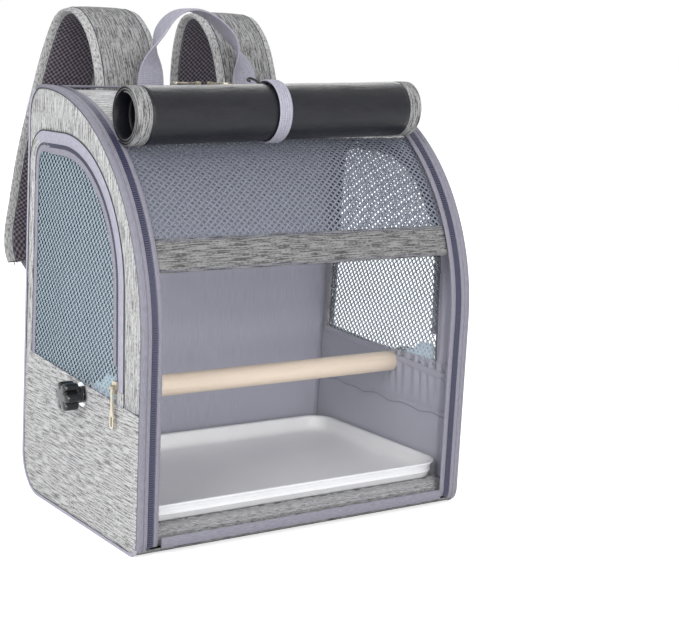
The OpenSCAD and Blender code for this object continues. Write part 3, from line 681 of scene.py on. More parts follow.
def finishes():
    """Makes all the carrier's materials, once."""
    if "nylon_ribbon" in bpy.data.materials:
        return
    # Heather cloth of the outside: light on the sides and darker on the other panels
    light, dark = colour("melange_light"), colour("melange_dark")
    melange("melange_side", light, dark)
    melange("melange_band", shade_of(light, 0.38), shade_of(dark, 0.36), 20.0, 0.1)
    melange("melange_mat", shade_of(light, 0.7), shade_of(dark, 0.45), 8.0, 0.3)
    melange("melange_strap", shade_of(light, 0.52), shade_of(dark, 0.4), 16.0, 0.4)
    melange("melange_tape", shade_of(light, 0.75), shade_of(dark, 0.95), 4.0, 0.6)
    melange("melange_base", shade_of(light, 0.4), shade_of(dark, 0.35), 12.0, 0.2)
    # Ribbons, zip tape and webbing
    ribbon = colour("ribbon")
    grosgrain("nylon_ribbon", ribbon)
    grosgrain("ribbon_light", shade_of(ribbon, 1.9), 1.1, 0.6, 0.25)
    grosgrain("ribbon_mid", shade_of(ribbon, 1.35), 1.1, 0.6, 0.35)
    grosgrain("ribbon_dark", shade_of(ribbon, 0.62))
    grosgrain("webbing", shade_of(ribbon, 1.6), 1.6, 0.6, 0.8)
    grosgrain("webbing_black", srgb("222226"), 1.6, 0.6, 0.8)
    grosgrain("tab_ribbon", srgb("77767C"), 1.6, 0.7, 0.6)
    satin("lining_satin", colour("lining"))
    # Side net outside, inside and at its holes, front mesh and sewing threads. The net's inside is
    # painted pale, as painted light coming through it; its hole walls are painted dark, as painted shade.
    yarn("net_yarn", colour("net"), 0.6, 0.14, 0.35)
    yarn("net_inner", srgb("F2F2F4"), 0.8, 0.05, 0.85)
    yarn("net_edge", srgb("39424C"), 0.75, 0.12)
    yarn("diamond_mesh", srgb("6C707B"), 0.55, 0.3)
    yarn("thread", srgb("6C6C7C"))
    # This dark thread also draws dark strips along seams, as painted shadow in their grooves
    yarn("thread_dark", srgb("34343E"))
    spacer("spacer_mesh", srgb("4A444B"))
    # Tray, knobs, ladder locks and hook, zip teeth and boards
    moulded("polypropylene", colour("tray"), 0.38, 0.0008, 0.05)
    moulded("nylon_gloss", srgb("131315"), 0.22, 0.002, 0.02, 0.4)
    moulded("nylon_matt", srgb("1E1E21"), 0.45)
    moulded("zip_teeth", srgb("3F3F55"), 0.4)
    moulded("hardboard", srgb("3A3A3E"), 0.8)
    # Sliders and pulls, washers and screws, and the wires in the arches
    metal("zinc_champagne", srgb("C9C1AE"), 0.3)
    metal("steel_bright", srgb("D6D6D8"), 0.2, 0.08)
    metal("spring_steel", srgb("6A6A70"), 0.35)
    beech("beech", colour("wood"))
    clear_film("pvc_film")
    coated("coated_black", colour("shade"))


def dress(material, *nodes):
    """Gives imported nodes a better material."""
    for node in nodes:
        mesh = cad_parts[node].data
        mesh.materials.clear()
        mesh.materials.append(bpy.data.materials[material])


# ---- Stage ----

# The photograph's camera, solved on the bag's outline: yaw, pitch and roll in degrees, place in metres
CAMERA_TURN = (34.35, 10.17, 1.79)
CAMERA_PLACE = (-0.706, -1.194, 0.424)
CAMERA_LENS = 78.68
# Square lamps: name, place, width and power
LAMPS = (
    ("key_light", (-2.1, -1.2, 1.7), 1.3, 34.0),
    ("front_light", (-0.5, -2.6, 0.8), 1.6, 42.0),
    ("back_light", (1.6, 2.2, 2.0), 1.6, 20.0),
)


def looked_at(tree):
    """One for rays from the camera, off a shine or through a clear piece, and nought for plain light."""
    path = add(tree, "LightPath").outputs
    seen = {0: path["Is Camera Ray"], 1: path["Is Glossy Ray"]}
    seen = add(tree, "Math", seen, operation="MAXIMUM")
    return add(tree, "Math", {0: seen, 1: path["Is Transmission Ray"]}, operation="MAXIMUM")


class CARRIER_OT_stage(bpy.types.Operator):
    """Floor, lights and the camera at the photograph's angle"""

    bl_idname = "carrier.stage"
    bl_label = "Stage and camera"

    def execute(self, context):
        scene = context.scene
        scene.view_settings.view_transform = "Standard"
        # Painted floor: matt white, and as white as the wall to the camera and in reflections
        tree = blank("studio_floor")
        place = add(tree, "TexCoord").outputs["Object"]
        uneven = add(tree, "TexNoise", {"Vector": place, "Scale": 2.0})
        stops = [(0.3, (0.8, 0.8, 0.8, 1)), (0.7, (0.84, 0.84, 0.84, 1))]
        paint = add(tree, "ValToRGB", {"Fac": uneven}, stops)
        matt = add(tree, "BsdfDiffuse", {"Color": paint})
        lift = add(tree, "Math", {0: looked_at(tree), 1: 0.6}, operation="MULTIPLY")
        glow = add(tree, "Emission", {"Strength": lift})
        close(tree, add(tree, "AddShader", {0: matt, 1: glow}))
        bm = bmesh.new()
        bmesh.ops.create_grid(bm, x_segments=1, y_segments=1, size=8)
        floor = piece(bm, "studio_floor", "studio_floor", None)

        world = bpy.data.worlds.new("studio")
        scene.world = world
        world.use_nodes = True
        tree = world.node_tree
        tree.nodes.clear()
        soft = add(tree, "Background", {"Color": (0.93, 0.96, 1.0, 1), "Strength": 0.74})
        white = add(tree, "Background", {"Color": (1, 1, 1, 1), "Strength": 1.0})
        both = add(tree, "MixShader", {0: looked_at(tree), 1: soft, 2: white})
        add(tree, "OutputWorld", {"Surface": both})

        for name, spot, wide, power in LAMPS:
            lamp = bpy.data.lights.new(name, "AREA")
            lamp.shape = "SQUARE"
            lamp.size = wide
            lamp.energy = power
            lit = bpy.data.objects.new(name, lamp)
            lit.location = spot
            lit.rotation_euler = (Vector((0, 0, 0.2)) - Vector(spot)).to_track_quat("-Z", "Y").to_euler()
            scene.collection.objects.link(lit)

        yaw, pitch, roll = (math.radians(a) for a in CAMERA_TURN)
        ahead = Vector((math.sin(yaw) * math.cos(pitch), math.cos(yaw) * math.cos(pitch), -math.sin(pitch)))
        right = Vector((math.cos(yaw), -math.sin(yaw), 0))
        above = right.cross(ahead)
        side = math.cos(roll) * right + math.sin(roll) * above
        above = math.cos(roll) * above - math.sin(roll) * right
        lens = bpy.data.cameras.new("photo_camera")
        lens.lens = CAMERA_LENS
        lens.sensor_width = 36
        eye = bpy.data.objects.new("photo_camera", lens)
        turn = Matrix((side, above, -ahead)).transposed().to_4x4()
        eye.matrix_world = Matrix.Translation(CAMERA_PLACE) @ turn
        scene.collection.objects.link(eye)
        scene.camera = eye
        return {"FINISHED"}


# ---- Side panels ----


def door_to_bag():
    """Matching points round a side: on the door's edge, its outward normal, and on the bag's edge."""
    doors = [part[0] for part in DOOR_EDGE.parts] + [DOOR_EDGE.length]
    bags = [t_front(DOOR_FOOT), t_front(222), t_top(34), BAG.parts[4][0], T_BACK, t_back(DOOR_FOOT)]
    rows = []
    for k, steps in enumerate((9, 44, 5, 14, 15)):
        for j in range(steps + (k == 4)):
            y, z, ny, nz = DOOR_EDGE.at(blend(doors[k], doors[k + 1], j / steps))
            rows.append(((y, z), (ny, nz), BAG.at(blend(bags[k], bags[k + 1], j / steps))))
    return rows


def surround(s, x, out, inset, bulge, seed=1):
    """The cloth between the side door and the bag's edge, slightly pillowed."""
    rows = door_to_bag()
    cols = 8

    def place(i, j):
        (dy, dz), n, bag = rows[j]
        f = i / cols
        y = blend(dy + out * n[0], bag[0] - inset * bag[2], f)
        z = blend(dz + out * n[1], bag[1] - inset * bag[3], f)
        rise = bulge * math.sin(math.pi * f) ** 0.7 * (0.75 + 0.5 * waves(y, z, 45, seed))
        return s * (x + rise), y, z

    return outwards(grid_mesh(cols, len(rows) - 1, place, lambda i, j: place(i, j)[1:]), s)


def skirt(s, x, inset, low, top, bulge, seed=2, level=True, cols=44, rows=24):
    """The cloth under the side door, from height low up to top(y), with its upper edge folded in."""

    def place(i, j):
        f = min(1, j / (rows - 1))
        height = max(blend(low, top(0), f), low)
        y = blend(BAG.at(t_front(height))[0] + inset, BAG.at(t_back(height))[0] - inset, i / cols)
        z = blend(low, top(y), f)
        away_from_knob = 1 - math.exp(-((math.dist((y, z), PERCH) / 26) ** 2))
        edges = (4 * f * (1 - f)) ** 0.35 * (4 * (i / cols) * (1 - i / cols)) ** 0.35
        rise = bulge * edges * away_from_knob * (0.7 + 0.6 * waves(y, z, 55, seed))
        if j == rows:
            return s * (x - 0.9), y, z - 0.6
        return s * (x + rise), y, z

    def uv(i, j):
        _, y, z = place(i, j)
        return (z, y) if level else (y, z)

    return outwards(grid_mesh(cols, rows, place, uv), s)


class CARRIER_OT_sides(bpy.types.Operator):
    """Outer cloth of both sides, with the piping along their edges and the seam under each side door"""

    bl_idname = "carrier.sides"
    bl_label = "Side panels"

    def execute(self, context):
        finishes()
        radius = sizes().piping_radius / MM
        for name, s in SIDES:
            upper = surround(s, HALF_W - 0.5, 11.4, 1.4, 1.3)
            piece(upper, f"side_cloth_upper_{name}", "melange_side", "shell", [f"side_upper_{name}"],
                  wall=0.8)
            lower = skirt(s, HALF_W + 0.3, 1.4, 1.6, seam_height, 1.4)
            piece(lower, f"side_cloth_lower_{name}", "melange_side", "shell", [f"side_lower_{name}"],
                  wall=0.8)
            ts = spaced(T_TAPE_END - 2, BAG.length) + spaced(0, T_HINGE)
            piping = band(flank(ts, -0.4, radius * 0.7, s), tube(radius))
            piece(piping, f"side_piping_{name}", "ribbon_light", "shell")
            # A dark strip along the real seam beside the piping: partly seam, partly painted shadow in its
            # groove
            dark = band(flank(spaced(T_TAPE_END, BAG.length - 2, 5), 0.4, 3.3, s), strip(0.8, 0.5))
            piece(dark, f"side_seam_shadow_{name}", "thread_dark", "shell")
        return {"FINISHED"}


# ---- Side doors ----

# Pitch of the side net and of the front mesh across their holes
NET_PITCH = 4.68
MESH_PITCH = 4.44


def lattice(first, second, n, inside, hole, middle, corners=8):
    """A flat net in Y and Z about a middle, of cells along two directions with a hole in each.

    inside(y, z) says which cells stay, and hole is the share of a cell's width that its hole takes up.
    Eight corners make round holes and four make diamonds.
    """
    bm = bmesh.new()
    bmesh.ops.create_grid(bm, x_segments=n, y_segments=n, size=n / 2)
    shift = Vector((0, *middle))
    for v in bm.verts:
        i, j = v.co.x, v.co.y
        v.co = Vector((0, first[0] * i + second[0] * j, first[1] * i + second[1] * j)) + shift
    out = [f for f in bm.faces if not inside(*f.calc_center_median()[1:])]
    bmesh.ops.delete(bm, geom=out, context="FACES")
    if corners == 8:
        bmesh.ops.bisect_edges(bm, edges=bm.edges[:], cuts=1)
    cells = bm.faces[:]
    bmesh.ops.inset_individual(bm, faces=cells, thickness=0.4)
    span = first[0] * second[1] - first[1] * second[0]
    for cell in cells:
        centre = cell.calc_center_median()
        share = hole(centre.y, centre.z) if callable(hole) else hole
        for v in cell.verts:
            arm = v.co - centre
            if corners == 8:
                u = (arm.y * second[1] - arm.z * second[0]) / span
                w = (arm.z * first[0] - arm.y * first[1]) / span
                v.co = centre + arm * share / (2 * math.hypot(u, w))
            else:
                v.co = centre + arm * share
    bmesh.ops.delete(bm, geom=cells, context="FACES")
    return bm


def in_door(y, z, inset=0.5):
    """Whether a point lies inside the side door's edge moved in by inset."""
    if not DOOR_FOOT < z < FOLD_HIGH[1] - inset or y < DOOR_FRONT + inset or y > rear_line(z, -inset):
        return False
    if y > CORNER[0] and z > CORNER[1]:
        return math.dist((y, z), CORNER) < CORNER_R - inset
    if y < DOOR_ARCH[0] and z > DOOR_ARCH[1]:
        return math.dist((y, z), DOOR_ARCH) < DOOR_R - inset
    return True


class CARRIER_OT_side_doors(bpy.types.Operator):
    """The net door of each side: one net over the fold, ribbons, zip teeth and the zip's garages"""

    bl_idname = "carrier.side_doors"
    bl_label = "Side doors"

    def execute(self, context):
        finishes()
        pitch = sizes().tooth_pitch / MM
        hole = sizes().net_hole / MM

        def opening(y, z):
            """The net's holes, drawn nearly shut in the doubled corner above the zip's lower end."""
            doubled = z < 148 and z < 120 - y * 0.45 and y < -34
            return (1.3 if doubled else hole) / NET_PITCH

        # Distances along the door's edge: the rear corner, the zip's ends and the end of its fold
        end = DOOR_EDGE.length
        turn = DOOR_EDGE.find(0, end, lambda y, z: y > CORNER[0] + 8)
        zip_end = DOOR_EDGE.find(0, end, lambda y, z: y >= FOLD_HIGH[0] - 1)
        zip_start = DOOR_EDGE.find(0, zip_end, lambda y, z: z >= FOLD_LOW[1] - 6)
        free = DOOR_EDGE.find(0, zip_end, lambda y, z: z >= FOLD_LOW[1] + 12)

        for name, s in SIDES:

            def ribbon(ts, out, inset, profile, wobble=None, s=s):
                return band(flank(ts, out, inset, s, DOOR_EDGE, wobble), profile)

            net = lattice((2.46, 3.10), (-4.46, 3.27), 90, in_door, opening, (10, 240))
            for v in net.verts:
                y, z = v.co.y, v.co.z
                v.co.x = s * (HALF_W - 1.1 + 0.9 * waves(y, z, 48, 5 + s))
                v.co *= MM
            outwards(net, s)
            # Inside faces painted pale as the light through the net, hole walls painted dark as their shade
            net = piece(net, f"side_net_cloth_{name}", ["net_yarn", "net_inner", "net_edge"], None,
                        [f"side_net_{name}", f"side_flap_{name}"],
                        sharp=80, wall=0.9, inside=1, edge=2)
            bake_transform(net)

            rear = ribbon(spaced(turn - 1, end), -0.3, -6.7, strip(10.6, 1.2, 0.7))
            piece(rear, f"side_door_rear_cloth_{name}", "melange_side", "shell")
            # A dark strip along the seam outside the ribbon: partly seam, partly painted shadow between
            # ribbon and cloth
            dark = ribbon(spaced(0, end), 0.2, -12.4, strip(1.0, 0.6))
            piece(dark, f"side_door_seam_shadow_{name}", "thread_dark", "shell")
            arch = ribbon(spaced(0, turn), -0.2, -6.7, strip(10.6, 1.2, 0.7))
            piece(arch, f"side_door_ribbon_{name}", "ribbon_light", "shell", [f"side_zip_{name}"])
            garage = ribbon(spaced(2, 12, 2), 1.0, -7, strip(13, 1.0, 0.4))
            piece(garage, f"side_zip_garage_{name}", "melange_side", "shell")
            row = flank(spaced(zip_start, zip_end, pitch), -0.4, 0.0, s, DOOR_EDGE)
            teeth = blocks(row, 1.7, pitch * TOOTH, 1.3, shift=0.3)
            tape = ribbon(spaced(0, end), -0.8, -0.9, strip(2.4, 0.7))
            piece(join([teeth, tape]), f"side_zip_teeth_{name}", "zip_teeth", "shell")

            row = flank(spaced(free, zip_end - 3, pitch, 0.5), -0.4, 1.5, s, DOOR_EDGE)
            teeth = blocks(row, 1.5, pitch * TOOTH, 1.3)
            tape = ribbon(spaced(free, zip_end - 3), -0.8, 1.7, strip(1.6, 0.7))
            piece(join([teeth, tape]), f"flap_zip_teeth_{name}", "zip_teeth", f"flap_{name}")
            inner = ribbon(spaced(free, zip_end - 4), -0.3, 5.2, strip(5.8, 1.0, 0.35),
                           lambda t: 0.25 * waves(t, 0, 30, 3))
            piece(inner, f"flap_ribbon_{name}", "ribbon_mid", f"flap_{name}", [f"flap_tape_{name}"])
            hem = ribbon(spaced(zip_end - 3, end), -0.5, 3.6, strip(6.0, 0.9, 0.5),
                         lambda t: 1.1 * waves(t, 0, 22, 9))
            piece(hem, f"net_hem_{name}", "ribbon_mid", "shell")
        return {"FINISHED"}


# ---- Arch zips ----

# Where the arch ribbon starts, and its section from there round onto the side: across and outwards
ARCH_X = 160
ARCH_WRAP = [
    (0.8, -0.9), (1.2, 0.1), (2.6, 0.55), (4.2, 0.5), (4.8, -0.2), (5.4, 0.5), (7.4, 0.8),
    (9.2, 0.6), (10.5, -0.1), (10.9, -1.2), (10.3, -2.1), (8.9, -1.7), (6.5, -0.9),
]


class CARRIER_OT_arch_zips(bpy.types.Operator):
    """Ribbons and teeth over the arches, on the bag and on the front door, and across the top"""

    bl_idname = "carrier.arch_zips"
    bl_label = "Arch zips"

    def execute(self, context):
        finishes()
        pitch = sizes().tooth_pitch / MM
        for name, s in SIDES:
            ts = spaced(T_HINGE - 2, T_TAPE_END)
            row = rim(spaced(T_HINGE, T_TAPE_END, pitch), ARCH_X - 0.7, 0.9, s)
            teeth = blocks(row, 2.9, pitch * TOOTH, 1.5)
            tape = band(rim(ts, ARCH_X - 0.4, 1.8, s), strip(4.2, 0.8))
            ribbon = band(rim(ts, ARCH_X, 0, s), ARCH_WRAP)
            piece(ribbon, f"arch_ribbon_{name}", "nylon_ribbon", "shell", [f"arch_tape_{name}"])
            piece(join([teeth, tape]), f"arch_teeth_{name}", "zip_teeth", "shell")
            # A dark strip along the seam between cloth and ribbon: partly seam thread, partly painted shadow
            line = band(flank(ts, 0.2, 2.5, s), strip(0.9, 0.5))
            piece(line, f"arch_seam_shadow_{name}", "thread_dark", "shell")

            ts = spaced(T_HINGE + 1, T_DOOR_END)
            row = rim(spaced(T_HINGE + 1, T_DOOR_END, pitch, 0.5), ARCH_X - 3.5, 0.9, s)
            teeth = blocks(row, 2.7, pitch * TOOTH, 1.5)
            tape = band(rim(ts, ARCH_X - 3.7, 1.8, s), strip(3.4, 0.8))
            piece(join([teeth, tape]), f"door_teeth_{name}", "zip_teeth", "front_door")
            side = band(rim(ts, ARCH_X - 6.9, 1.6, s), strip(5.6, 1.2, 0.5))
            across = [((s * x, 80.5, 387.3), (0, 1, 0), (0, 0, 1), x) for x in (0.2, 40, 80, 120, PANEL_W)]
            rear = band(across, strip(6.8, 1.0, 0.3))
            piece(join([side, rear]), f"door_ribbon_{name}", "nylon_ribbon", "front_door",
                  [f"door_tape_{name}"])
        across = [((x, 88.2, 386.0), (0, 1, 0), (0, 0, 1), x) for x in (-158, -80, 0, 80, 158)]
        piece(band(across, strip(7.4, 1.0, 0.4)), "top_ribbon", "nylon_ribbon", "shell", ["top_tape"])
        return {"FINISHED"}


# ---- Front door ----


def door_sheet(t0, t1, cols, rows, x, depth, sag=0.0, seed=0, size=40):
    """An open sheet on the outline between two distances along it, reaching x to either side."""

    def place(i, j):
        t = blend(t0, t1, j / rows)
        y, z, ny, nz = BAG.at(t)
        across = blend(-x, x, i / cols)
        d = depth - sag * waves(across, t, size, seed) * math.sin(math.pi * i / cols) ** 0.3
        return across, y - d * ny, z - d * nz

    return away(grid_mesh(cols, rows, place, lambda i, j: (blend(t0, t1, j / rows), blend(-x, x, i / cols))))


class CARRIER_OT_front_door(bpy.types.Operator):
    """Foot binding, clear film, band, black mesh and top cloth of the front door"""

    bl_idname = "carrier.front_door"
    bl_label = "Front door"

    def execute(self, context):
        finishes()
        reach = PANEL_W + 2.6
        foot = [((x, -122.2, 12.6), (0, 0.05, 1), (0, -1, 0.05), x) for x in spaced(-PANEL_W, PANEL_W, 12)]
        piece(band(foot, strip(9.0, 1.6, 0.7)), "door_foot_binding", "nylon_ribbon", "front_door",
              ["front_binding"])
        film = door_sheet(T_WINDOW, T_BAND + 3, 36, 28, reach, DOOR_IN + 0.3, 0.7, 4, 90)
        piece(film, "window_film", "pvc_film", "front_door", ["front_window"],
              wall=sizes().film_thickness / MM)
        cloth = door_sheet(T_BAND, T_MESH, 60, 6, reach, DOOR_IN - 1.1, 0.5, 6, 30)
        piece(cloth, "door_band", "melange_band", "front_door", ["front_band"], wall=1.2)
        lines = []
        for origin, _, up, _ in rim((T_BAND + 1.6, T_MESH - 1.6), 0, DOOR_IN - 1.3):
            a, b = (Vector((x, origin[1], origin[2])) for x in (-PANEL_W, PANEL_W))
            lines.append(seam(a, b, Vector((0, -up[2], up[1])), up))
        piece(join(lines), "band_stitches", "thread", "front_door")

        # The mesh is laid out flat, as distances across and along the outline, and then bent onto it
        net = lattice(
            (3.3, 3.0),
            (-3.3, 3.0),
            110,
            lambda across, t: abs(across) < PANEL_W + 2.4 and T_MESH - 3 < t < T_SEAM + 2,
            1 - sizes().mesh_strand / MM / MESH_PITCH,
            (0, (T_MESH + T_SEAM) / 2),
            4,
        )
        for v in net.verts:
            across, t = v.co.y, v.co.z
            y, z, ny, nz = BAG.at(t)
            d = DOOR_IN + 0.6 + 0.8 * waves(across, t, 60, 3)
            v.co = Vector((across, y - d * ny, z - d * nz)) * MM
        piece(away(net), "door_mesh", "diamond_mesh", "front_door", ["front_mesh"],
              sharp=80, wall=0.8)
        top = door_sheet(T_SEAM - 2, t_top(78), 60, 14, reach, DOOR_IN - 0.2, 0.6, 8, 50)
        piece(top, "door_top_cloth", "melange_side", "front_door", ["top_panel"],
              wall=1.2)
        return {"FINISHED"}


# ---- Rolled shade ----

# The roll's middle, half its length, outer radius, turns, their distance and the width of its binding
ROLL = (-55.35, 371.30)
ROLL_HALF = 149.5
ROLL_R = 25.25
ROLL_TURNS = 2.6
TURN_GAP = 2.3
BINDING = 14
ELASTIC_R = 27.1
# The path of the small hook on the elastic
HOOK = [
    (-15, -45.4, 396.1), (-19, -42.4, 399.0), (-23, -41.4, 400.2), (-26, -42.9, 398.8),
    (-25, -45.4, 397.4),
]


def settled(x, y, z):
    """The roll has slid a little to the left, and down the door's slope at its left end."""
    run = blend(6, -7, (x + 150) / 300)
    return x - 5, y - 0.819 * run, z - 0.574 * run


def spiral(f):
    """A share of the way along the rolled cloth: y, z and the way out."""
    a = math.radians(-60 - 360 * ROLL_TURNS * f)
    r = ROLL_R - TURN_GAP * ROLL_TURNS * f
    return ROLL[0] + r * math.cos(a), ROLL[1] + r * math.sin(a), math.cos(a), math.sin(a)


class CARRIER_OT_rolled_shade(bpy.types.Operator):
    """The black shade rolled up on the door, its bound ends, the ribbed elastic and its hook"""

    bl_idname = "carrier.rolled_shade"
    bl_label = "Rolled shade"

    def execute(self, context):
        finishes()
        cols, rows = 60, 110

        def place(i, j):
            x = blend(BINDING - ROLL_HALF - 1, ROLL_HALF + 1 - BINDING, i / cols)
            y, z, ny, nz = spiral(j / rows)
            pinch = -1.1 * math.exp(-((x / 9) ** 2))
            lift = 0.35 * waves(x, 40 * j / rows, 22, 2) + pinch * 0.4
            return settled(x, y + lift * ny, z + lift * nz)

        def uv(i, j):
            return 357 * j / rows, blend(-ROLL_HALF, ROLL_HALF, i / cols)

        sheet = away(grid_mesh(cols, rows, place, uv), (0, *ROLL))
        piece(sheet, "rolled_shade", "coated_black", "front_door", ["shade_roll"],
              wall=1.3, offset=0)
        ends = []
        for s in (-1, 1):
            stations = []
            for k in range(rows + 1):
                y, z, ny, nz = spiral(k / rows)
                spot = settled(s * (ROLL_HALF - BINDING / 2), y, z)
                stations.append((spot, (s, 0, 0), (0, ny, nz), 3.6 * k))
            ends.append(band(stations, strip(BINDING, 1.75, 0.1, 4)))
        ends = join(ends)
        ends.normal_update()
        # Heather cloth outside, black cloth inside, and the pale core of the cloth at its cut ends
        for face in ends.faces:
            out = face.calc_center_median() - Vector((0, *ROLL)) * MM
            out.x = 0
            inner = face.normal.dot(out.normalized()) < -0.25
            face.material_index = 1 if inner else 2 * (abs(face.normal.x) > 0.7)
        piece(ends, "rolled_shade_bindings", ["melange_strap", "coated_black", "net_inner"], "front_door",
              ["shade_bindings"])
        loop = []
        for k in range(64):
            a = 2 * math.pi * k / 64
            c, d = math.cos(a), math.sin(a)
            spot = settled(-4, ROLL[0] + ELASTIC_R * c, ROLL[1] + ELASTIC_R * d)
            loop.append((spot, (1, 0, 0), (0, c, d), 27 * a))
        elastic = band(loop, strip(13, 1.0, 0.0, 20, 5, 0.5), ring=True)
        piece(elastic, "roll_elastic", "webbing", "front_door", ["roll_strap"])
        hook = smooth_path(HOOK, 5)
        made = band(along(hook, [(0, 1, 0)] * len(hook)), tube(1.2, 8))
        piece(made, "roll_elastic_hook", "nylon_matt", "front_door")
        return {"FINISHED"}


# ---- Base and back ----

# The back's padding: half its width, the height of its middle, and half its height
PAD_W = 112
PAD_Z = 189
PAD_H = 131
# The floor mat's cover, from under its front edge up and to the rear: y and z
MAT_LINE = [
    (-108.6, 5.4), (-110.6, 9), (-110.4, 17), (-106.5, 21.6), (-100, 22.3), (0, 22.6), (95, 22.3),
    (109.5, 22.3),
]


class CARRIER_OT_base_and_back(bpy.types.Operator):
    """Outer cloth of the base and the back, the padded mesh on the back, and the floor mat"""

    bl_idname = "carrier.base_and_back"
    bl_label = "Base and back"

    def execute(self, context):
        finishes()

        def outer(t0, t1, rows, sag, seed):
            return door_sheet(t0, t1, 60, rows, HALF_W - 1.2, 0.2, sag, seed, 70)

        back = outer(T_TAPE_END - 1, T_BASE + 1, 60, 1.0, 11)
        piece(back, "back_cloth", "melange_side", "shell", ["back_panel"], wall=1.2)
        base = join([outer(T_BASE, BAG.length, 20, 0.0, 12), outer(0, T_HINGE - 3, 8, 0.0, 12)])
        bmesh.ops.remove_doubles(base, verts=base.verts, dist=1e-5)
        piece(base, "base_cloth", "melange_base", "shell", ["bottom_panel"], wall=1.2)

        cols, rows = 56, 64

        def pad(i, j):
            """The padding's crown, with two sewn channels."""
            u, v = 2 * i / cols - 1, 2 * j / rows - 1
            channel = 1 - 0.62 * max(math.exp(-(((u - c) / 0.05) ** 2)) for c in (-1 / 3, 1 / 3))
            crown = 9.3 * max(0, 1 - u**6) ** 0.5 * max(0, 1 - v**8) ** 0.5
            return off_back(PAD_W * u, PAD_Z + PAD_H * v, 1.4 + crown * channel)

        padding = away(grid_mesh(cols, rows, pad, lambda i, j: (4 * i, 4.1 * j)))
        made = piece(padding, "back_padding", "spacer_mesh", "shell", ["back_pad"], sharp=70)
        corners = ((-1, -1), (1, -1), (1, 1), (-1, 1))
        edge = []
        for k, (u0, v0) in enumerate(corners):
            u1, v1 = corners[(k + 1) % 4]
            for j in range(20):
                u, v = blend(u0, u1, j / 20), blend(v0, v1, j / 20)
                corner = 1 - 0.03 * (abs(u * v) ** 14)
                edge.append(Vector(off_back(PAD_W * u * corner, PAD_Z + PAD_H * v, 1.4)))
        stations = []
        for k, spot in enumerate(edge):
            way = (edge[(k + 1) % len(edge)] - edge[k - 1]).normalized()
            stations.append((spot, way.cross(Vector((0, 1, 0))).normalized(), Vector((0, 1, 0.05)), 9 * k))
        piece(band(stations, strip(8, 1.6, 0.6), ring=True), "back_padding_binding", "nylon_ribbon", "shell")

        def mat(i, j):
            x = blend(-166.6, 166.6, i / 60)
            walk = j / 30 * (len(MAT_LINE) - 1)
            k = min(len(MAT_LINE) - 2, int(walk))
            y, z = (blend(a, b, walk - k) for a, b in zip(MAT_LINE[k], MAT_LINE[k + 1]))
            return x, y, z - (0.8 if i in (0, 60) else 0) + 0.3 * waves(x, y, 40, 5) * (z > 20)

        cover = away(grid_mesh(60, 30, mat, lambda i, j: (7 * j, 5.6 * i)), (0, 0, 10))
        made = piece(cover, "floor_mat_cover", "melange_mat", "shell", ["floor_mat"], wall=1.0)
        return {"FINISHED"}


# ---- Linings ----


def lining_seam(y):
    """Height of the wavy seam across a side's lining."""
    return 81 + 3.5 * waves(y, 0, 24)


class CARRIER_OT_linings(bpy.types.Operator):
    """Satin linings of the sides and the back, with their seams, and the sleeves of the arch wires"""

    bl_idname = "carrier.linings"
    bl_label = "Linings"

    def execute(self, context):
        finishes()
        for name, s in SIDES:
            upper = surround(-s, 2.5 - HALF_W, 5.5, 3.6, -1.0, 21)
            lower = skirt(-s, 2.6 - HALF_W, 3.6, 5, lambda y: 134, -1.0, 22, level=False, cols=150, rows=40)
            for part in (upper, lower):
                for v in part.verts:
                    y, z = v.co.y / MM, v.co.z / MM
                    front = 1 / (1 + math.exp((y + 5) / 12))
                    near = math.exp(-(((z - 122) / 20) ** 2)) * front
                    pucker = 1.7 * math.sin(y / 2.1 + 3 * waves(y, z / 3, 26)) * near
                    crease = -1.54 * math.exp(-(((z - 3 - lining_seam(y)) / 2.2) ** 2))
                    v.co.x -= s * (pucker + crease) * MM
            piece(join([upper, lower]), f"side_satin_{name}", "lining_satin", "shell",
                  [f"side_lining_{name}"], wall=0.5)
            inner = s * (HALF_W - 3.4)
            stitch = [((inner, y, lining_seam(y)), (0, 0, 1), (-s, 0, 0), 0) for y in spaced(-118, 108, 3.4)]
            piece(blocks(stitch, 0.6, 2.3, 0.5), f"side_satin_stitches_{name}", "thread", "shell")
            inner = s * (HALF_W - 3.2)
            hem = [((inner, y, seam_height(y) - 5), (0, 0, 1), (-s, 0, 0), y) for y in spaced(-117, 110, 5)]
            piece(band(hem, strip(7, 0.9, 0.5)), f"side_satin_hem_{name}", "lining_satin", "shell")
            sleeve = band(rim(spaced(t_front(20), t_top(78), 5), HALF_W - 4.1, 7, s), tube(2.3))
            piece(sleeve, f"wire_sleeve_{name}", "ribbon_dark", "shell")

        def back(i, j):
            """The back's lining, puckered near the top where its hem is gathered."""
            t = blend(T_TAPE_END + 2, t_back(24), j / 40)
            y, z, ny, nz = BAG.at(t)
            x = blend(-166.9, 166.9, i / 50)
            pucker = math.sin(x / 2.6 + waves(x, t, 25)) * math.exp(-(((z - 330) / 26) ** 2))
            d = 5.9 + 0.7 * waves(x, t, 50, 7) + 0.6 * pucker
            return x, y - d * ny, z - d * nz

        cloth = away(grid_mesh(50, 40, back, lambda i, j: (6.7 * i, 9 * j)))
        bmesh.ops.reverse_faces(cloth, faces=cloth.faces)
        piece(cloth, "back_satin", "lining_satin", "shell", ["back_lining"], wall=0.5)
        dress("hardboard", "base_board", "back_board")
        dress("spring_steel", "arch_wires")
        return {"FINISHED"}


# ---- Perch, knobs and tray ----

PERCH_HALF = 167.3
PERCH_R = 10
# The knob: six lobes of radius LOBE_R about points LOBE_OUT from its middle, on a round collar
KNOB_X = 171.9
KNOB_R = 13.5
LOBE_OUT = 9.5
LOBE_R = 4
COLLAR_R = 7.4
# Its section from the collar to the crown: height and share of the lobes' reach
KNOB_RINGS = [
    (0, 0.0), (0.3, 0.55), (5.6, 0.55), (5.9, 0.93), (6.6, 0.985), (8.0, 1.0), (16.5, 1.0),
    (18.2, 0.985), (19.3, 0.93), (19.85, 0.82), (20.0, 0.6), (20.0, 0.0),
]


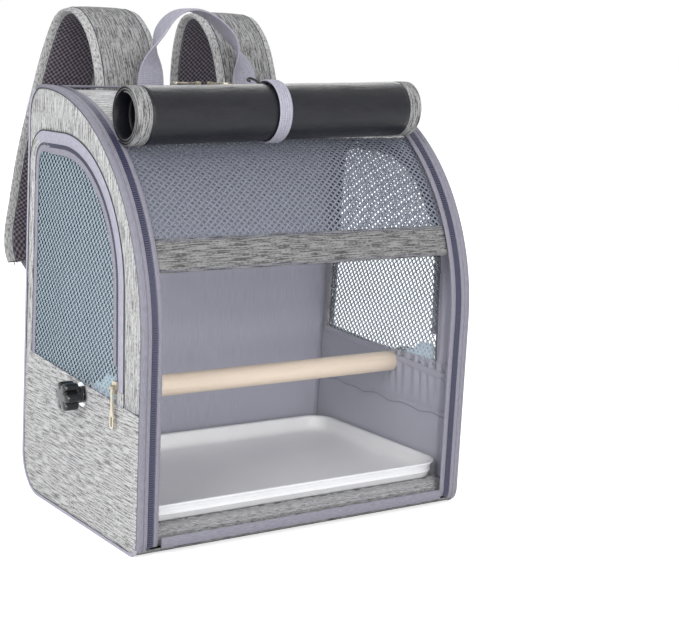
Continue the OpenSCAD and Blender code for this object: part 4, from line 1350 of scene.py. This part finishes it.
def turned(radii):
    """A round shape about the perch's line: rings of (x, radius), closed at both ends."""
    segments = 48

    def place(i, j):
        a = 2 * math.pi * (i % segments) / segments
        x, r = radii[j]
        return x, PERCH[0] + r * math.cos(a), PERCH[1] + r * math.sin(a)

    return sealed(grid_mesh(segments, len(radii) - 1, place, lambda i, j: (i, radii[j][0])))


class CARRIER_OT_perch(bpy.types.Operator):
    """The wooden perch with its screws, washers and lobed knobs"""

    bl_idname = "carrier.perch"
    bl_label = "Perch and knobs"

    def execute(self, context):
        finishes()
        ends = [(-PERCH_HALF, 8.4), (-PERCH_HALF + 0.5, 9.5), (-PERCH_HALF + 1.6, PERCH_R)]
        middle = [(x, PERCH_R) for x in range(-150, 151, 30)]
        rod = turned(ends + middle + [(-x, r) for x, r in reversed(ends)])
        piece(rod, "perch_rod", "beech", "shell", ["perch"])

        lobes, n = [], 96
        for k in range(n):
            a = 2 * math.pi * k / n
            near = abs((a + math.pi / 6) % (math.pi / 3) - math.pi / 6)
            reach = math.sqrt(max(0, LOBE_R**2 - (LOBE_OUT * math.sin(near)) ** 2))
            lobes.append((a, LOBE_OUT * math.cos(near) + reach))
        for name, s in SIDES:

            def place(i, j, s=s):
                a, reach = lobes[i % n]
                x, share = KNOB_RINGS[j]
                r = min(COLLAR_R, KNOB_R * share) if 0 < j < 3 else share * reach
                return s * (KNOB_X + x), PERCH[0] + r * math.cos(a), PERCH[1] + r * math.sin(a)

            knob = sealed(grid_mesh(n, len(KNOB_RINGS) - 1, place, lambda i, j: (i, j)))
            piece(knob, f"knob_cap_{name}", "nylon_gloss", f"knob_{name}", [f"knob_{name}"], sharp=50)
        dress("steel_bright", "perch_washers", "perch_screws")
        return {"FINISHED"}


# The tray's half length, its front and rear, and its corner radius
TRAY = (164.7, -105.85, 109.19, 24)
# Rings from the middle of the floor inside, up the wall, over the rim and down outside: out and up
TRAY_RINGS = [
    (-60, 24.8), (-28, 24.8), (-14, 24.8), (-9.5, 25.2), (-7.0, 27), (-5.6, 31), (-5.0, 37.4),
    (-4.6, 38.9), (-3.4, 39.7), (-1.2, 39.8), (-0.2, 39.4), (0, 38.7), (-0.2, 38.0), (-1.2, 37.8),
    (-2.6, 37.6), (-3.2, 36), (-3.3, 34.6), (-2.7, 34.1), (-3.4, 33.6), (-3.5, 30.6), (-2.9, 30.1),
    (-3.6, 29.6), (-5, 25.4), (-8, 23.2), (-14, 22.8), (-60, 22.8),
]


def round_plate(x, y0, y1, r):
    """Points of a rectangle with round corners, as x, y and the way out."""
    points, turns = [], 12
    for cx, cy, a0 in ((x - r, y1 - r, 0), (r - x, y1 - r, 90), (r - x, y0 + r, 180), (x - r, y0 + r, 270)):
        for k in range(turns + 1):
            a = math.radians(a0 + 90 * k / turns)
            points.append((cx + r * math.cos(a), cy + r * math.sin(a), math.cos(a), math.sin(a)))
    return points


class CARRIER_OT_tray(bpy.types.Operator):
    """The moulded tray with its rolled rim and the two fine ridges round its wall"""

    bl_idname = "carrier.tray"
    bl_label = "Tray"

    def execute(self, context):
        finishes()
        edge = round_plate(*TRAY)
        centre = (TRAY[1] + TRAY[2]) / 2

        def place(i, j):
            x, y, nx, ny = edge[i % len(edge)]
            d, z = TRAY_RINGS[j]
            if d > -20:
                return x + d * nx, y + d * ny, z
            # The floor's inner rings draw together towards its middle
            f = (-d - 20) / 90
            return (x - 20 * nx) * (1 - f), blend(y - 20 * ny, centre, f), z

        tray = sealed(grid_mesh(len(edge), len(TRAY_RINGS) - 1, place, lambda i, j: (i, j)))
        piece(tray, "tray_moulding", "polypropylene", "tray", ["tray"], sharp=50)
        return {"FINISHED"}


# ---- Handle and shoulder straps ----

# The handle's feet apart from the middle, its depth, the height of its feet, and its rise
HANDLE_X = 52
HANDLE_Y = 95
HANDLE_FOOT = 383.3
HANDLE_RISE = 73.9

# A shoulder pad's start on the yoke and the steps of its loop from there, its end, and its half width
PAD_START = (66, 111.58, 368)
PAD_STEPS = [
    (0, 0, 0), (0, 4, 30), (0, 22, 66), (1, 54, 88), (3, 88, 84), (7, 112, 50), (14, 128, 0),
    (26, 132, -56), (40, 122, -112), (50, 108, -144), (50, 101, -158),
]
PAD_END = (116, 212.58, 210)
PAD_REACH = 33.4
# Upper half of the tape's section round a pad's edge, from outside to its edge, and its inner face
PAD_TAPE = [(25, 3.162), (28, 2.826), (31, 2.378), (33.6, 1.706), (34.4, 0.698)]
TAPE_INNER = [(25, -2.378), (30, -1.594), (33, 0.25), (30, 1.594), (25, 2.378)]
# The adjusting webbing: its anchor, its slope in degrees, and how far past the pad it meets the lock
WEB_LOW = (140, 130.28, 42)
WEB_SLOPE = 26.1
LOCK_OUT = 41.6
# The grey tab between pad and lock: distance from the pad's end, and width
TAB_ROWS = ((2.8, 40.4), (6, 37.5), (10, 33.5), (13.5, 29.5), (16.6, 25.6))


def smooth_path(points, steps):
    """A smooth curve through points."""
    made = []
    for k in range(len(points) - 1):
        a, b, c, d = (Vector(points[min(max(k + m, 0), len(points) - 1)]) for m in (-1, 0, 1, 2))
        for j in range(steps):
            f = j / steps
            bend = (2 * a - 5 * b + 4 * c - d) * f * f + (3 * b - a - 3 * c + d) * f**3
            made.append(0.5 * (2 * b + (c - a) * f + bend))
    return made + [Vector(points[-1])]


class CARRIER_OT_handle(bpy.types.Operator):
    """The webbing handle, turned a quarter between its feet and its grip"""

    bl_idname = "carrier.handle"
    bl_label = "Handle"

    def execute(self, context):
        finishes()
        points, widths = [], []
        for k in range(41):
            a = 180 - 180 * k / 40
            f = min(1, min(a, 180 - a) / 55)
            turn = math.radians(90 * f * f * (3 - 2 * f))
            c, s = math.cos(math.radians(a)), math.sin(math.radians(a))
            points.append((HANDLE_X * c - 10 * s * s, HANDLE_Y, HANDLE_FOOT + 3.82 + HANDLE_RISE * s))
            lean = math.copysign(1, a - 90)
            widths.append((math.cos(turn) * abs(c), math.sin(turn), math.cos(turn) * s * lean))
        feet = [(points[k][0], HANDLE_Y, HANDLE_FOOT) for k in (0, -1)]
        points = [feet[0], *points, feet[1]]
        widths = [(1, 0, 0), *widths, (1, 0, 0)]
        webbing = band(along(points, widths), strip(28, 2.0, 0.2, 28, 7, 0.35))
        piece(webbing, "handle_webbing", "webbing", "handle", ["handle"], sharp=60)
        for name, s in SIDES:
            lines = []
            for z in (384.6, 386.6):
                a, b = ((s * HANDLE_X + x, HANDLE_Y - 1.4, z) for x in (-11, 11))
                lines.append(seam(a, b, (0, 0, 1), (0, -1, 0)))
            piece(join(lines), f"handle_stitches_{name}", "thread", "handle")
        return {"FINISHED"}


class CARRIER_OT_straps(bpy.types.Operator):
    """Yoke, padded shoulder straps with bound edges, tabs, ladder locks, webbing and its anchors"""

    bl_idname = "carrier.straps"
    bl_label = "Shoulder straps"

    def execute(self, context):
        finishes()

        def yoke(i, j):
            out = 1.9 + 0.5 * math.sin(math.pi * j / 6)
            return off_back(blend(-102, 102, i / 40), blend(347.2, 366.8, j / 6), out)

        cloth = away(grid_mesh(40, 6, yoke, lambda i, j: (3.3 * j, 5.1 * i)))
        piece(cloth, "yoke_cloth", "melange_strap", "shell", ["strap_yoke"], wall=1.6)
        lines = []
        for z in (349.5, 364.5):
            y = off_back(0, z, 2.5)[1]
            lines.append(seam((-99, y, z), (99, y, z), (0, 0, 1), (0, 1, 0.06)))
        piece(join(lines), "yoke_stitches", "thread_dark", "shell")

        row = [blend(-PAD_REACH, PAD_REACH, k / 20) for k in range(21)]
        thick = [1.3 + 3.0 * math.sqrt(max(0.0, 1 - (abs(a) / 29) ** 4)) for a in row]
        upper = list(zip(row, thick))
        profile = upper + [(33.9, 0)] + [(a, -b) for a, b in reversed(upper)] + [(-33.9, 0)]
        width = sum(math.dist(upper[k], upper[k + 1]) for k in range(20)) * MM
        tape = PAD_TAPE + [(a, -b) for a, b in reversed(PAD_TAPE)] + TAPE_INNER

        for name, s in SIDES:
            route = smooth_path([Vector(PAD_START) + Vector(p) for p in PAD_STEPS], 8)
            route = [Vector((s * p.x, p.y, p.z)) for p in route]
            stations = along(route, [(s, 0, 0)] * len(route))
            pad = band(stations, profile)
            # The section's two halves are of cloth and of mesh, which also closes the ends
            layer = pad.loops.layers.uv["along"]
            for face in pad.faces:
                around = sum(loop[layer].uv.x for loop in face.loops) / len(face.loops)
                face.material_index = 1 if (around < width) == (s > 0) or len(face.loops) > 4 else 0
            made = piece(pad, f"shoulder_pad_{name}", ["melange_strap", "spacer_mesh"], f"strap_{name}",
                         [f"strap_pad_{name}"])
            path = smooth_path(route[::4], 12)
            fine = along(path, [(s, 0, 0)] * len(path))
            parts, stitch = [], []
            for e in (-1, 1):
                edge = [(origin, Vector(across) * e, up, d) for origin, across, up, d in stations]
                parts.append(band(edge, tape))
                for face in (-1, 1):
                    stitch.append(blocks(fine, 0.7, 2.4, 0.5, shift=e * 26.6, lift=face * 3.15))
            piece(join(parts), f"shoulder_pad_tape_{name}", "melange_tape", f"strap_{name}")
            piece(join(stitch), f"shoulder_pad_stitches_{name}", "thread_dark", f"strap_{name}")

            end = Vector((s * PAD_END[0], *PAD_END[1:]))
            down = Vector((0, -math.sin(math.radians(WEB_SLOPE)), -math.cos(math.radians(WEB_SLOPE))))

            def tab(i, j, end=end, down=down):
                d, w = TAB_ROWS[j]
                return end + d * down + Vector((w * (i / 12 - 0.5), 0, 0))

            cloth = grid_mesh(12, 4, tab, lambda i, j: (2.5 * i, 3.4 * j))
            piece(cloth, f"strap_tab_cloth_{name}", "tab_ribbon", f"strap_{name}", [f"strap_tab_{name}"],
                  wall=2.6, offset=0)
            dress("nylon_matt", f"ladder_lock_{name}")

            low = Vector((s * WEB_LOW[0], *WEB_LOW[1:]))
            top = end + down * LOCK_OUT
            points = [top.lerp(low, k / 12) for k in range(13)]
            web = band(along(points, [(1, 0, 0)] * 13), strip(25, 1.5, 0, 25, 6, 0.2))
            made = piece(web, f"adjusting_web_{name}", "webbing_black", None, [f"strap_web_{name}"], sharp=60)
            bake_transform(made)

        anchors, stitch = [], []
        for _, s in SIDES:

            def anchor(i, j, s=s):
                return off_back(s * blend(122.7, 157.3, i / 10), blend(16.2, 41.5, j / 8), 1.9)

            anchors.append(away(grid_mesh(10, 8, anchor, lambda i, j: (3.5 * i, 3.1 * j))))
            for z in (19, 37):
                _, _, ny, nz = BAG.at(t_back(z))
                a, b = (off_back(s * x, z, 2) for x in (124, 156))
                stitch.append(seam(a, b, (0, nz, -ny), (0, ny, nz)))
        piece(join(anchors), "web_anchor_cloth", "tab_ribbon", "shell", ["web_anchors"],
              wall=1.8)
        piece(join(stitch), "web_anchor_stitches", "thread_dark", "shell")
        return {"FINISHED"}


# ---- Zip sliders ----


class CARRIER_OT_sliders(bpy.types.Operator):
    """Champagne finish of the sliders and pulls"""

    bl_idname = "carrier.sliders"
    bl_label = "Zip sliders"

    def execute(self, context):
        finishes()
        for name, _ in SIDES:
            for node in ("side_slider", "side_pull", "front_slider", "front_pull"):
                dress("zinc_champagne", f"{node}_{name}")
        return {"FINISHED"}


# ---- Panel, registration and run ----

OPERATORS = (
    CARRIER_OT_stage,
    CARRIER_OT_sides,
    CARRIER_OT_side_doors,
    CARRIER_OT_arch_zips,
    CARRIER_OT_front_door,
    CARRIER_OT_rolled_shade,
    CARRIER_OT_base_and_back,
    CARRIER_OT_linings,
    CARRIER_OT_perch,
    CARRIER_OT_tray,
    CARRIER_OT_handle,
    CARRIER_OT_straps,
    CARRIER_OT_sliders,
)


class CARRIER_PT_panel(bpy.types.Panel):
    """Sidebar panel with the sizes, the colours and one button for each group of pieces"""

    bl_idname = "CARRIER_PT_panel"
    bl_label = "Bird carrier"
    bl_space_type = "VIEW_3D"
    bl_region_type = "UI"
    bl_category = "Carrier"

    def draw(self, context):
        for group in (context.scene.carrier_sizes, context.scene.carrier_colours):
            box = self.layout.box()
            for name in type(group).__annotations__:
                box.prop(group, name)
        for operator in OPERATORS:
            self.layout.operator(operator.bl_idname)


CLASSES = (CarrierSizes, CarrierColours, *OPERATORS, CARRIER_PT_panel)


def register():
    for made in CLASSES:
        bpy.utils.register_class(made)
    bpy.types.Scene.carrier_sizes = PointerProperty(type=CarrierSizes)
    bpy.types.Scene.carrier_colours = PointerProperty(type=CarrierColours)


def unregister():
    del bpy.types.Scene.carrier_colours
    del bpy.types.Scene.carrier_sizes
    for made in reversed(CLASSES):
        bpy.utils.unregister_class(made)


def main():
    register()
    for operator in OPERATORS:
        group, name = operator.bl_idname.split(".")
        getattr(getattr(bpy.ops, group), name)()


if __name__ == "__main__":
    main()
